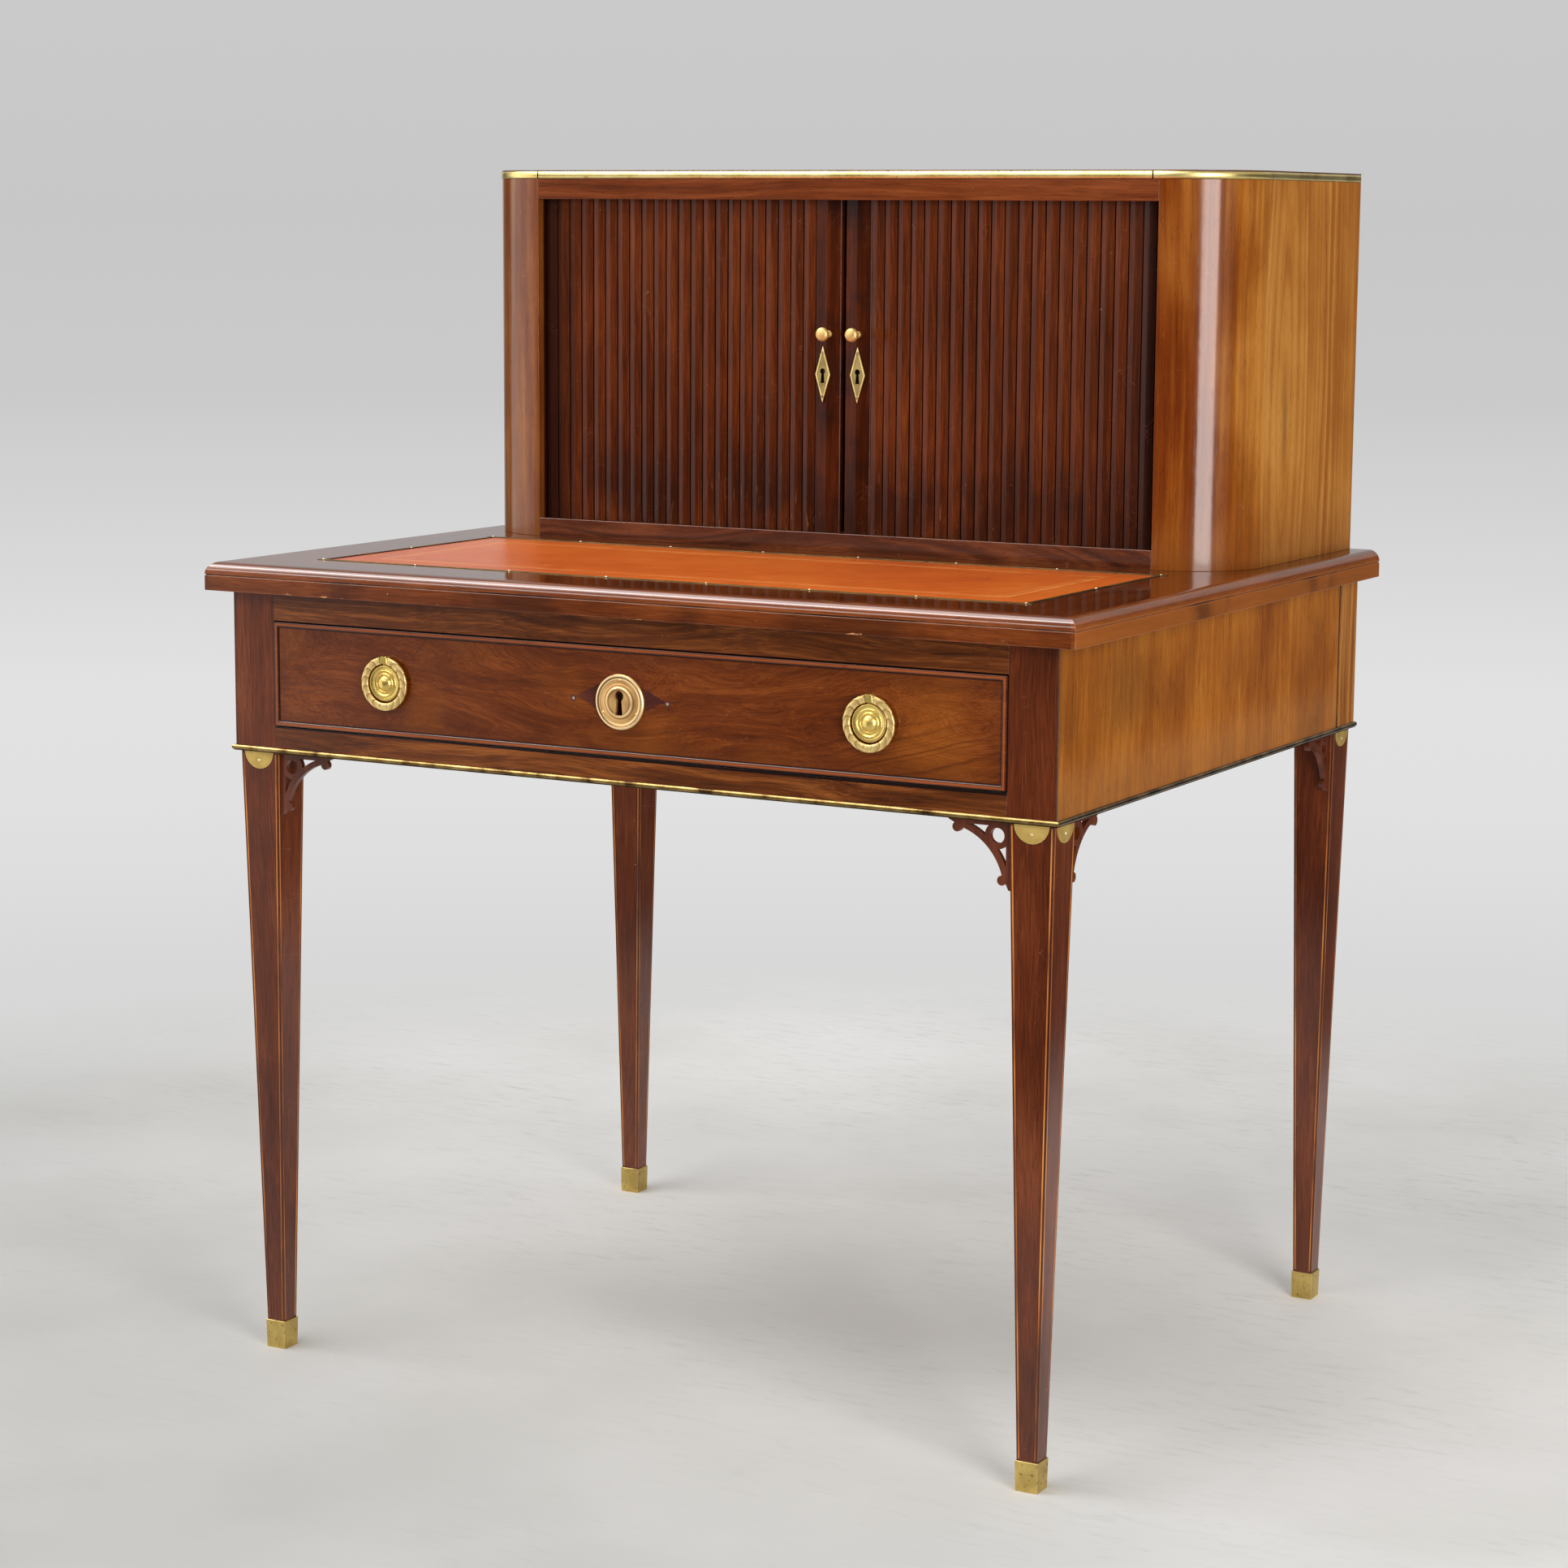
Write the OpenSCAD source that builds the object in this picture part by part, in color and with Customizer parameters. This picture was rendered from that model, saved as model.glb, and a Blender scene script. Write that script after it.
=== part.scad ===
// Bonheur du jour: a lady's writing table with one frieze drawer on tapered legs
// and a low cabinet on top, closed by two tambour doors that slide round its corners.
// The origin is on the floor, under the middle of the writing top. The front faces -Y.

/* [Writing top] */
// Width of the writing top
top_w = 880; // [700:1:1200]
// Depth of the writing top
top_d = 710; // [600:1:900]
// Height of the writing surface above the floor
writing_h = 752; // [700:1:800]
// Thickness of the writing top
top_t = 26; // [20:0.5:40]
// Radius of the rounded upper edge of the top
top_edge_r = 11; // [4:0.5:14]
// Width and depth of the line scored under the rounded edge
edge_line = 1; // [0.5:0.1:2]
// How far the top hangs over the frieze in front
overhang_front = 16; // [10:0.5:40]
// How far the top hangs over the frieze at each side
overhang_side = 21; // [6:0.5:40]
// How far the top hangs over the frieze at the back
overhang_back = 2; // [0:0.5:20]

/* [Leather] */
// Wooden border at each side of the leather
leather_side = 80; // [50:1:120]
// Wooden border in front of the leather
leather_front = 76; // [50:1:120]
// Wooden border between the leather and the cabinet
leather_back = 41; // [10:1:60]
// Thickness of the leather
leather_t = 1.4; // [0.8:0.1:3]
// Width of the brass strip let in round the leather
edge_strip_w = 4; // [2:0.5:8]
// How far that strip stands out of the surface
edge_strip_out = 0.6; // [0.3:0.1:1.5]
// How far the long strips run past the corners of the leather
edge_strip_past = 6; // [0:0.5:12]
// Distance between the pins in the strip
edge_pin_pitch = 98; // [60:1:150]

/* [Frieze] */
// Height of the frieze under the top
frieze_h = 149; // [120:1:180]
// Side of the square block at the head of each leg
post_w = 45.5; // [40:0.5:60]
// Thickness of the side and back rails of the frieze
rail_t = 22; // [16:0.5:30]
// Thickness of the veneer that runs over the front leg blocks
veneer_t = 1; // [0.6:0.1:2]
// Open joint in front of the rear leg blocks
seam_gap = 1.2; // [0.2:0.1:2]
// Height of the rail over the drawer
top_rail_h = 26; // [15:0.5:35]
// Height of the rail under the drawer
bottom_rail_h = 25; // [15:0.5:35]
// Depth of both rails
front_rail_d = 60; // [30:1:90]
// Height of the brass bead round the foot of the frieze
bead_h = 5; // [3:0.5:8]
// How far that bead stands out
bead_out = 3; // [2:0.1:4]

/* [Legs] */
// Width of a leg where it leaves the frieze
leg_top_w = 41; // [34:0.5:44]
// Width of the wooden leg at the floor
leg_foot_w = 18.2; // [14:0.1:30]
// Set-back of the leg from the outer faces of its block
leg_inset = 3.5; // [0:0.5:6]
// Width of each inlaid light line
string_w = 1.2; // [0.6:0.1:2]
// Depth of each inlaid light line
string_t = 0.8; // [0.5:0.1:1.5]
// Distance of a line from the edge of the leg
string_edge = 1.6; // [1:0.1:4]
// Height of the brass shoe
shoe_h = 27; // [15:1:60]
// Wall of the brass shoe
shoe_t = 1.2; // [0.8:0.1:2]
// Radius of the half-round brass plate at the head of a leg
moon_r = 16; // [10:0.5:18]
// Thickness of that plate
moon_t = 1; // [0.6:0.1:2]

/* [Corner brackets] */
// Length of each arm of a bracket
bracket_l = 59; // [40:1:90]
// Thickness of a bracket
bracket_t = 5; // [3:0.5:9]
// Set-back of a bracket from the face of the leg
bracket_set = 4.5; // [0:0.5:12]
// Radius of the pierced ring
bracket_hole_r = 6.5; // [4:0.5:9]
// Width of the wood between the piercings
bracket_band = 5; // [3:0.5:8]

/* [Drawer] */
// Gap between the drawer and what surrounds it
drawer_gap = 0.8; // [0.4:0.1:2]
// Space between the back of the drawer and the back rail
drawer_behind = 70; // [10:1:200]
// Thickness of the drawer front
front_t = 20; // [15:0.5:28]
// Thickness of the drawer sides and back
side_t = 10; // [7:0.5:15]
// Thickness of the drawer bottom
bottom_t = 6; // [4:0.5:9]
// Width of the bead round the drawer front
cock_w = 4.5; // [2:0.5:7]
// How far the bead stands out
cock_out = 1.2; // [0:0.1:2]
// Distance of each ring pull from the end of the drawer
pull_in = 126.5; // [60:0.5:180]
// Outer radius of a ring pull
ring_r = 24.6; // [15:0.1:30]
// Width of the ring's band
ring_w = 7; // [4:0.5:9]
// Thickness of the ring's band
ring_t = 4; // [2:0.5:4.5]
// Width of the lug that carries the ring
lug_w = 7; // [4:0.5:10]
// Radius of the hinge pin in the lug
pin_r = 1.1; // [0.8:0.1:1.5]
// Radius of the plate round the keyhole
key_plate_r = 24.5; // [16:0.5:30]
// Radius of the round part of the keyhole
key_r = 4.6; // [3:0.1:6]

/* [Cabinet] */
// Set-back of the cabinet from each end of the writing top
cab_side = 30; // [10:1:80]
// Depth of the cabinet
cab_d = 308; // [250:1:340]
// Height of the cabinet
cab_h = 361; // [280:1:450]
// Radius of its rounded front corners
corner_r = 78; // [50:1:100]
// Thickness of the curved sides
shell_t = 10; // [8:0.5:16]
// Height of the rail under the doors
cab_bottom_h = 18; // [14:0.5:30]
// Height of the rail over the doors
cab_top_h = 20; // [14:0.5:30]
// Thickness of the top board
lid_t = 8; // [7:0.5:14]
// Height of the brass strip on the edge of the top board
lid_strip_h = 7; // [4:0.5:7]
// How far that strip stands out
lid_strip_out = 1.5; // [0.5:0.1:2]
// Thickness of the inner sides and the shelf
inner_t = 8; // [6:0.5:12]
// Height of the shelf above the cabinet floor
shelf_h = 155; // [80:1:240]

/* [Tambour doors] */
// Distance from one slat to the next
slat_pitch = 13.9; // [10:0.1:20]
// Gap between two slats
slat_gap = 0.9; // [0.5:0.1:1.5]
// Thickness of a slat
slat_t = 7; // [5:0.5:9]
// Thickness of the cloth behind the slats
cloth_t = 0.6; // [0.4:0.1:1]
// Width of the leading stile of a door
stile_w = 27; // [20:0.5:40]
// Thickness of the stile
stile_t = 20; // [16:0.5:26]
// How far both doors stand open in all
ajar = 5.5; // [1:0.5:20]
// Middle of the opening between the doors, to the right of the centre
ajar_x = 4.5; // [-10:0.5:10]
// Height of the door knobs above the writing surface
knob_h = 207; // [120:1:260]
// Radius of a door knob
knob_r = 6.7; // [4:0.1:10]
// How far a knob stands out from the stile
knob_out = 18; // [10:1:25]
// Height of the middle of the keyhole plates above the writing surface
key_h = 168.5; // [100:1:230]
// Height of a keyhole plate
lozenge_h = 53; // [30:1:70]
// Width of a keyhole plate
lozenge_w = 15.5; // [10:0.5:20]

/* [Hidden] */
$fn = 64;
EPS = 0.01;

// Clearance of a seated piece, and running clearance of a moving one
fit = 0.2;
run = 0.5;

// Planes of the table
top_z = writing_h - top_t;
frieze_z = top_z - frieze_h;
frieze_x = top_w / 2 - overhang_side;
frieze_front = -top_d / 2 + overhang_front;
frieze_back = top_d / 2 - overhang_back;
post_x = frieze_x - post_w;
opening_z0 = frieze_z + bottom_rail_h;
opening_z1 = top_z - top_rail_h;

// Middle of each leg
leg_x = frieze_x - leg_inset - leg_top_w / 2;
leg_front_y = frieze_front + leg_inset + leg_top_w / 2;
leg_back_y = frieze_back - leg_inset - leg_top_w / 2;
// Lean of the leg faces
leg_slope = (leg_top_w - leg_foot_w) / 2 / frieze_z;
leg_lean = atan(leg_slope);

// Leather field
leather_x = top_w / 2 - leather_side;
leather_y0 = -top_d / 2 + leather_front;
cab_front = top_d / 2 - overhang_back - cab_d;
cab_back = cab_front + cab_d;
leather_y1 = cab_front - leather_back;

// Cabinet
cab_x = top_w / 2 - cab_side;
jamb_x = cab_x - corner_r;
corner_y = cab_front + corner_r;
floor_z = writing_h + cab_bottom_h;
lid_z = writing_h + cab_h - lid_t;
door_top = lid_z - cab_top_h;
track_d = 8;
track_w = slat_t + cloth_t + 2 * run;
slat_front = cab_front + shell_t + run;
slat_z0 = floor_z - track_d + run;
slat_z1 = door_top + track_d - run;
inner_front = cab_front + shell_t + track_w + run;

// Doors: x of the free edge and of the middle of each stile
left_edge = ajar_x - ajar / 2;
right_edge = ajar_x + ajar / 2;
left_mid = left_edge - stile_w / 2;
right_mid = right_edge + stile_w / 2;
// Slats that already stand in the rounded corner
tail_slats = 3;
// Depth of the bevels along a stile
stile_bevel = 2.2;
// Door keyhole plates: thickness, screw hole and its distance from the pointed end
lozenge_t = 1.5;
lozenge_hole_r = 1.5;
lozenge_hole_in = 5.5;
// Knobs and plates stand a little off the middle of their stiles
left_knob_x = left_mid + 2;
right_knob_x = right_mid + 1;
left_lozenge_x = left_mid - 4;
right_lozenge_x = right_mid + 1;

// Drawer
drawer_x = post_x - drawer_gap;
drawer_z0 = opening_z0 + drawer_gap;
drawer_z1 = opening_z1 - drawer_gap;
drawer_mid = (opening_z0 + opening_z1) / 2;
// Box of the drawer: its bottom is let into a groove some way up
box_z0 = opening_z0 + fit;
box_z1 = drawer_z1 - 4;
box_y0 = frieze_front + front_t;
box_y1 = frieze_back - rail_t - drawer_behind;
drawer_l = box_y1 - frieze_front;
floor_up = 6;
groove_d = 4;
cock_deep = 10;
// Lock and its bolt, which stops under the bead
lock_w = 60;
lock_h = 42;
lock_t = 12;
bolt_w = 18;
bolt_t = 5;
bolt_h = 22;
bolt_top = drawer_z1 - cock_w - run;
// Round part of the keyhole above the middle of its plate, and length of its slot
key_up = 5.4;
key_drop = 17;

// Ring pulls
pull_x = post_x - pull_in;
ring_mid = ring_r - ring_w / 2;
ring_y = frieze_front - ring_t / 2 - 3;
pull_plate_r = ring_r - ring_w - 1.6;

// Frustum of a square, standing on z0, with its half widths at foot and head
module taper(half0, half1, z0, z1) {
    corner = function(half, z) [
        [-half, -half, z], [half, -half, z], [half, half, z], [-half, half, z]
    ];
    polyhedron(
        concat(corner(half0, z0), corner(half1, z1)),
        [
            [0, 1, 2, 3], [7, 6, 5, 4],
            [4, 5, 1, 0], [5, 6, 2, 1], [6, 7, 3, 2], [7, 4, 0, 3]
        ]
    );
}

// Half width of the wooden leg at a height
function leg_half(z) = leg_foot_w / 2 + leg_slope * z;

// Places of the four legs: [x, y], front left, front right, back left, back right
leg_places = [
    [-leg_x, leg_front_y], [leg_x, leg_front_y], [-leg_x, leg_back_y], [leg_x, leg_back_y]
];

// Moves what stands on the centre line of a leg to leg i
module at_leg(i) {
    translate(leg_places[i]) children();
}

// Lays what is drawn on the plane y = 0, facing -Y, on one face of a leg
module on_leg_face(turn) {
    rotate([0, 0, turn])
        translate([0, -leg_foot_w / 2, 0])
            rotate([leg_lean, 0, 0])
                children();
}

// Both light lines of one face, as thick strips let into the wood
module face_lines(extra) {
    z0 = shoe_h + 2;
    for (side = [-1, 1])
        polyhedron(
            [
                for (y = [-extra, string_t])
                    for (z = [z0, frieze_z - 2])
                        for (u = [0, string_w])
                            [side * (leg_half(z) - string_edge - u), y, z]
            ],
            side > 0
                ? [[0, 1, 3, 2], [4, 6, 7, 5], [0, 4, 5, 1], [2, 3, 7, 6], [0, 2, 6, 4], [1, 5, 7, 3]]
                : [[0, 2, 3, 1], [4, 5, 7, 6], [0, 1, 5, 4], [2, 6, 7, 3], [0, 4, 6, 2], [1, 3, 7, 5]]
        );
}

module leg_lines(extra) {
    for (turn = [0, 90, 180, 270])
        on_leg_face(turn) face_lines(extra);
}

// One leg: a square block in the frieze over a tapered shaft that ends in the shoe
module leg(i) {
    right = leg_places[i][0] > 0;
    front = leg_places[i][1] < 0;
    skin = front ? veneer_t : 0;
    block_x = right ? post_x : -frieze_x + skin;
    block_y = front ? frieze_front : frieze_back - post_w;
    color([0.34, 0.16, 0.09]) {
        difference() {
            at_leg(i) taper(leg_half(shoe_t), leg_half(frieze_z), shoe_t, frieze_z);
            at_leg(i) leg_lines(1);
        }
        translate([block_x, block_y, frieze_z])
            cube([post_w - skin, post_w, frieze_h]);
    }
}

module leg_front_left() { leg(0); }
module leg_front_right() { leg(1); }
module leg_back_left() { leg(2); }
module leg_back_right() { leg(3); }

// Light lines along both edges of every face of the legs
module leg_stringing() {
    color([0.75, 0.47, 0.2])
        for (i = [0:3])
            at_leg(i) leg_lines(0);
}

// Brass cup on the foot of a leg
module shoe(i) {
    color([0.67, 0.57, 0.3])
        at_leg(i)
            difference() {
                taper(leg_half(0) + shoe_t, leg_half(shoe_h) + shoe_t, 0, shoe_h);
                taper(leg_half(shoe_t), leg_half(shoe_h + 1), shoe_t, shoe_h + 1);
            }
}

module shoe_front_left() { shoe(0); }
module shoe_front_right() { shoe(1); }
module shoe_back_left() { shoe(2); }
module shoe_back_right() { shoe(3); }

// Faces that carry a half-round plate: [leg, turn], fronts of the front legs and all outer sides
moon_faces = [[0, 0], [1, 0], [0, 270], [2, 270], [1, 90], [3, 90]];

// Length of a leg face along its slope, and how far below its head a plate ends
face_l = frieze_z / cos(leg_lean);
moon_down = 0.5;

module half_moon_plates() {
    color([0.74, 0.63, 0.33])
        for (f = moon_faces)
            at_leg(f[0])
                on_leg_face(f[1])
                    translate([0, 0, face_l - moon_down])
                        rotate([90, 0, 0])
                            linear_extrude(moon_t)
                                difference() {
                                    circle(moon_r);
                                    translate([-moon_r - 1, 0]) square([2 * moon_r + 2, moon_r + 1]);
                                }
}

// Head of a small pin, standing on z = 0
module pin_head(r) {
    intersection() {
        translate([0, 0, -r * 0.6]) sphere(r * 1.25, $fn = 24);
        cylinder(r = r, h = r, $fn = 24);
    }
}

// Corners and pin places of the strip round the leather
strip_top = writing_h + edge_strip_out;
pins_across = floor(2 * leather_x / edge_pin_pitch);
pins_deep = floor((leather_y1 - leather_y0) / edge_pin_pitch);
pin_head_r = 1.2;

module brass_pins() {
    color([0.8, 0.72, 0.45]) {
        for (f = moon_faces)
            at_leg(f[0])
                on_leg_face(f[1])
                    translate([0, -moon_t, face_l - moon_down - moon_r / 2])
                        rotate([90, 0, 0])
                            pin_head(pin_head_r);
        for (y = [leather_y0, leather_y1], k = [0:pins_across])
            translate([-leather_x + k * 2 * leather_x / pins_across, y, strip_top])
                pin_head(pin_head_r);
        for (x = [-leather_x, leather_x], k = [1:pins_deep - 1])
            translate([x, leather_y0 + k * (leather_y1 - leather_y0) / pins_deep, strip_top])
                pin_head(pin_head_r);
    }
}

// Side rail of the frieze, whose veneer runs on over the front leg block
module side_rail(side) {
    y0 = frieze_front + post_w;
    y1 = frieze_back - post_w - seam_gap;
    color([0.65, 0.4, 0.2]) {
        translate([side > 0 ? frieze_x - rail_t : -frieze_x, y0, frieze_z])
            cube([rail_t, y1 - y0, frieze_h]);
        translate([side > 0 ? frieze_x - veneer_t : -frieze_x, frieze_front, frieze_z])
            cube([veneer_t, y1 - frieze_front, frieze_h]);
    }
}

module side_rail_left() { side_rail(-1); }
module side_rail_right() { side_rail(1); }

module back_rail() {
    color([0.42, 0.24, 0.13])
        translate([-post_x, frieze_back - rail_t, frieze_z])
            cube([2 * post_x, rail_t, frieze_h]);
}

module front_top_rail() {
    color([0.4, 0.2, 0.11])
        translate([-post_x, frieze_front, opening_z1])
            difference() {
                cube([2 * post_x, front_rail_d, top_rail_h]);
                // Mortise for the bolt of the drawer lock
                translate([post_x - bolt_w / 2 - run, front_t - lock_t / 2 - bolt_t / 2 - run, -1])
                    cube([bolt_w + 2 * run, bolt_t + 2 * run, 14]);
            }
}

module front_bottom_rail() {
    color([0.4, 0.2, 0.11])
        translate([-post_x, frieze_front, frieze_z])
            cube([2 * post_x, front_rail_d, bottom_rail_h]);
}

// Outline of the bead: a half round over a thin fillet, from x = 0 outwards
module bead_profile() {
    intersection() {
        union() {
            translate([0, bead_h * 0.55]) bead_nose(bead_h * 0.45);
            square([bead_out * 0.5, bead_h]);
        }
        square([bead_out, bead_h]);
    }
}

// Round nose of the bead
module bead_nose(r) {
    translate([bead_out - r, 0]) circle(r);
    translate([0, -r]) square([max(bead_out - r, EPS), 2 * r]);
}

// Brass bead round the foot of the frieze, mitred at the front corners
module frieze_bead() {
    side_l = top_d / 2 - frieze_front;
    color([0.78, 0.66, 0.35]) {
        intersection() {
            translate([-frieze_x - bead_out, frieze_front, frieze_z])
                rotate([90, 0, 90])
                    linear_extrude(2 * (frieze_x + bead_out))
                        mirror([1, 0]) bead_profile();
            bead_mitre();
        }
        for (side = [-1, 1])
            difference() {
                translate([side * frieze_x, top_d / 2, frieze_z])
                    rotate([90, 0, 0])
                        linear_extrude(side_l + bead_out)
                            mirror([side > 0 ? 0 : 1, 0]) bead_profile();
                bead_mitre();
            }
    }
}

// Space in front of the two mitre planes
module bead_mitre() {
    translate([0, 0, frieze_z - 1])
        linear_extrude(bead_h + 2)
            polygon([
                [-frieze_x, frieze_front],
                [frieze_x, frieze_front],
                [frieze_x + 2 * bead_out, frieze_front - 2 * bead_out],
                [-frieze_x - 2 * bead_out, frieze_front - 2 * bead_out]
            ]);
}

// Centre and radius of the hollow curve of a bracket, and centre of its ring
curve_c = bracket_l * 1.045;
curve_r = bracket_l * 0.937;
ring_c = bracket_band + (bracket_hole_r + bracket_band) * 0.7;
// Scroll at the end of an arm: its radius, its centre along and across the arm,
// and how far from the arm's end the piercing stops
scroll_r = 4.2;
scroll_u = bracket_l - 8.5;
scroll_v = 8.6;
scroll_end = 12;

// Outline of a bracket: the arms run along +X and -Y from the corner, and the edge
// against the leg follows its slope
module bracket_outline() {
    difference() {
        polygon([
            [0, 0],
            [bracket_l, 0],
            [bracket_l - 0.8, -2.5],
            [bracket_l - 5.5, -4.6],
            [scroll_u, -scroll_v],
            [curve_c / 2, -curve_c / 2],
            [scroll_v, -scroll_u],
            [4.6, -bracket_l + 5.5],
            [2.5, -bracket_l + 0.8],
            [-leg_slope * bracket_l, -bracket_l]
        ]);
        translate([curve_c, -curve_c]) circle(curve_r, $fn = 96);
    }
}

// Openings on both sides of the pierced ring
module bracket_piercings() {
    difference() {
        translate([bracket_band, -bracket_l + scroll_end])
            square(bracket_l - scroll_end - bracket_band);
        translate([curve_c, -curve_c]) circle(curve_r + bracket_band * 1.1, $fn = 96);
        translate([ring_c, -ring_c]) circle(bracket_hole_r + bracket_band);
    }
}

// Sawn bracket, lying on z = 0, with a round scroll at the end of each arm
module bracket_board() {
    difference() {
        union() {
            linear_extrude(bracket_t) bracket_outline();
            for (c = [[scroll_u, -scroll_v], [scroll_v, -scroll_u]])
                translate(c) cylinder(r = scroll_r, h = bracket_t, $fn = 32);
        }
        translate([ring_c, -ring_c, -1]) cylinder(r = bracket_hole_r, h = bracket_t + 2);
        translate([0, 0, -1]) linear_extrude(bracket_t + 2) bracket_piercings();
    }
}

// Bracket in the inner corner of leg i: along = "x" beside the front, "y" beside a side
module bracket(i, along) {
    right = leg_places[i][0] > 0;
    front = leg_places[i][1] < 0;
    half = leg_top_w / 2;
    color([0.36, 0.17, 0.11])
        at_leg(i)
            translate([0, 0, frieze_z])
                if (along == "x")
                    mirror([right ? 1 : 0, 0, 0])
                        translate([half, -half + bracket_set + bracket_t, 0])
                            rotate([90, 0, 0]) bracket_board();
                else
                    mirror([0, front ? 0 : 1, 0])
                        mirror([right ? 1 : 0, 0, 0])
                            translate([-half + bracket_set, half, 0])
                                rotate([90, 0, 90]) bracket_board();
}

module bracket_front_left() { bracket(0, "x"); }
module bracket_front_right() { bracket(1, "x"); }
module bracket_left_front() { bracket(0, "y"); }
module bracket_left_back() { bracket(2, "y"); }
module bracket_right_front() { bracket(1, "y"); }
module bracket_right_back() { bracket(3, "y"); }

// Runners with their guides under the drawer, and kickers over it
module drawer_bearers() {
    y0 = frieze_front + front_rail_d;
    y1 = frieze_back - rail_t;
    wall = frieze_x - rail_t;
    run_x = post_x - 26;
    color([0.62, 0.45, 0.28])
        for (side = [0, 1])
            mirror([side, 0, 0]) {
                // Runner and guide, glued up as one
                difference() {
                    translate([run_x, y0, opening_z0 - 14]) cube([wall - run_x, y1 - y0, 14 + 34]);
                    translate([run_x - 1, y0 - 1, opening_z0]) cube([post_x - run_x + 1, y1 - y0 + 2, 60]);
                    at_block_cut();
                }
                // Kicker
                difference() {
                    translate([run_x, y0, opening_z1]) cube([wall - run_x, y1 - y0, 14]);
                    at_block_cut();
                }
            }
}

// Space of the leg blocks on the right hand side
module at_block_cut() {
    for (y = [frieze_front, frieze_back - post_w])
        translate([post_x, y - EPS, frieze_z - 1])
            cube([post_w + 1, post_w + 2 * EPS, frieze_h + 2]);
}

// Section of the writing top with its rounded upper edge: both = rounded on both ends
module top_profile(span, both) {
    flat_h = top_t - top_edge_r;
    x1 = both ? span - top_edge_r : span;
    difference() {
        union() {
            square([span, flat_h]);
            translate([top_edge_r, 0]) square([x1 - top_edge_r, top_t]);
            translate([top_edge_r, flat_h]) circle(top_edge_r);
            if (both) translate([x1, flat_h]) circle(top_edge_r);
        }
        translate([-1, flat_h - edge_line]) square([1 + edge_line, edge_line]);
        if (both) translate([span - edge_line, flat_h - edge_line]) square([1 + edge_line, edge_line]);
    }
}

// Writing top: moulded on its front and both ends, with a shallow recess for the leather
// and the strips round it
module writing_top() {
    color([0.33, 0.15, 0.09])
        difference() {
            intersection() {
                translate([-top_w / 2, top_d / 2, top_z])
                    rotate([90, 0, 0])
                        linear_extrude(top_d) top_profile(top_w, true);
                translate([-top_w / 2, -top_d / 2, top_z])
                    rotate([90, 0, 90])
                        linear_extrude(top_w) top_profile(top_d, false);
            }
            translate([-leather_x, leather_y0, writing_h - leather_t])
                cube([2 * leather_x, leather_y1 - leather_y0, leather_t + 1]);
            strip_bars(leather_t + 1);
        }
}

// Leather that fills the space between the strips
module leather_panel() {
    in = edge_strip_w / 2 + fit;
    color([0.76, 0.36, 0.15])
        translate([-leather_x + in, leather_y0 + in, writing_h - leather_t])
            cube([2 * (leather_x - in), leather_y1 - leather_y0 - 2 * in, leather_t]);
}

// Bars round the leather, standing on the floor of its recess
module strip_bars(h) {
    half = edge_strip_w / 2;
    translate([0, 0, writing_h - leather_t]) {
        for (y = [leather_y0, leather_y1])
            translate([-leather_x - edge_strip_past, y - half, 0])
                cube([2 * (leather_x + edge_strip_past), edge_strip_w, h]);
        for (x = [-leather_x, leather_x])
            translate([x - half, leather_y0 + half, 0])
                cube([edge_strip_w, leather_y1 - leather_y0 - edge_strip_w, h]);
    }
}

module leather_edge_strips() {
    color([0.5, 0.4, 0.22]) strip_bars(leather_t + edge_strip_out);
}

// Plan of the cabinet, drawn in by a distance: rounded in front, square behind
module cabinet_plan(in) {
    r = corner_r - in;
    for (side = [-1, 1])
        translate([side * jamb_x, corner_y]) circle(r, $fn = 128);
    translate([-jamb_x, cab_front + in]) square([2 * jamb_x, cab_d - 2 * in]);
    translate([-cab_x + in, corner_y]) square([2 * (cab_x - in), cab_d - corner_r - in]);
}

// Floor board: the tambours run in a rebate round its front and ends
module cabinet_floor() {
    color([0.4, 0.22, 0.12])
        translate([0, 0, writing_h])
            difference() {
                linear_extrude(cab_bottom_h) cabinet_plan(shell_t);
                translate([0, 0, cab_bottom_h - track_d])
                    linear_extrude(track_d + 1)
                        difference() {
                            cabinet_plan(shell_t - 1);
                            cabinet_plan(shell_t + track_w);
                            translate([-cab_x, cab_back - shell_t - track_w - 1])
                                square([2 * cab_x, shell_t + track_w + 2]);
                        }
            }
}

// Curved side: a thin shell from the jamb round the corner to the back
module cabinet_side(side) {
    color([0.6, 0.34, 0.16])
        mirror([side > 0 ? 0 : 1, 0, 0])
            translate([0, 0, writing_h])
                linear_extrude(cab_h - lid_t)
                    difference() {
                        intersection() {
                            union() {
                                translate([jamb_x, corner_y]) circle(corner_r, $fn = 128);
                                translate([jamb_x, corner_y]) square([corner_r, cab_d - corner_r]);
                            }
                            translate([jamb_x, cab_front - 1]) square([corner_r + 1, cab_d + 2]);
                        }
                        translate([jamb_x, corner_y]) circle(corner_r - shell_t, $fn = 128);
                        translate([jamb_x - 1, corner_y])
                            square([corner_r - shell_t + 1, cab_d]);
                    }
}

module cabinet_side_left() { cabinet_side(-1); }
module cabinet_side_right() { cabinet_side(1); }

module cabinet_back() {
    color([0.42, 0.26, 0.15])
        translate([-cab_x + shell_t, cab_back - shell_t, writing_h])
            cube([2 * (cab_x - shell_t), shell_t, cab_h - lid_t]);
}

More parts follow.
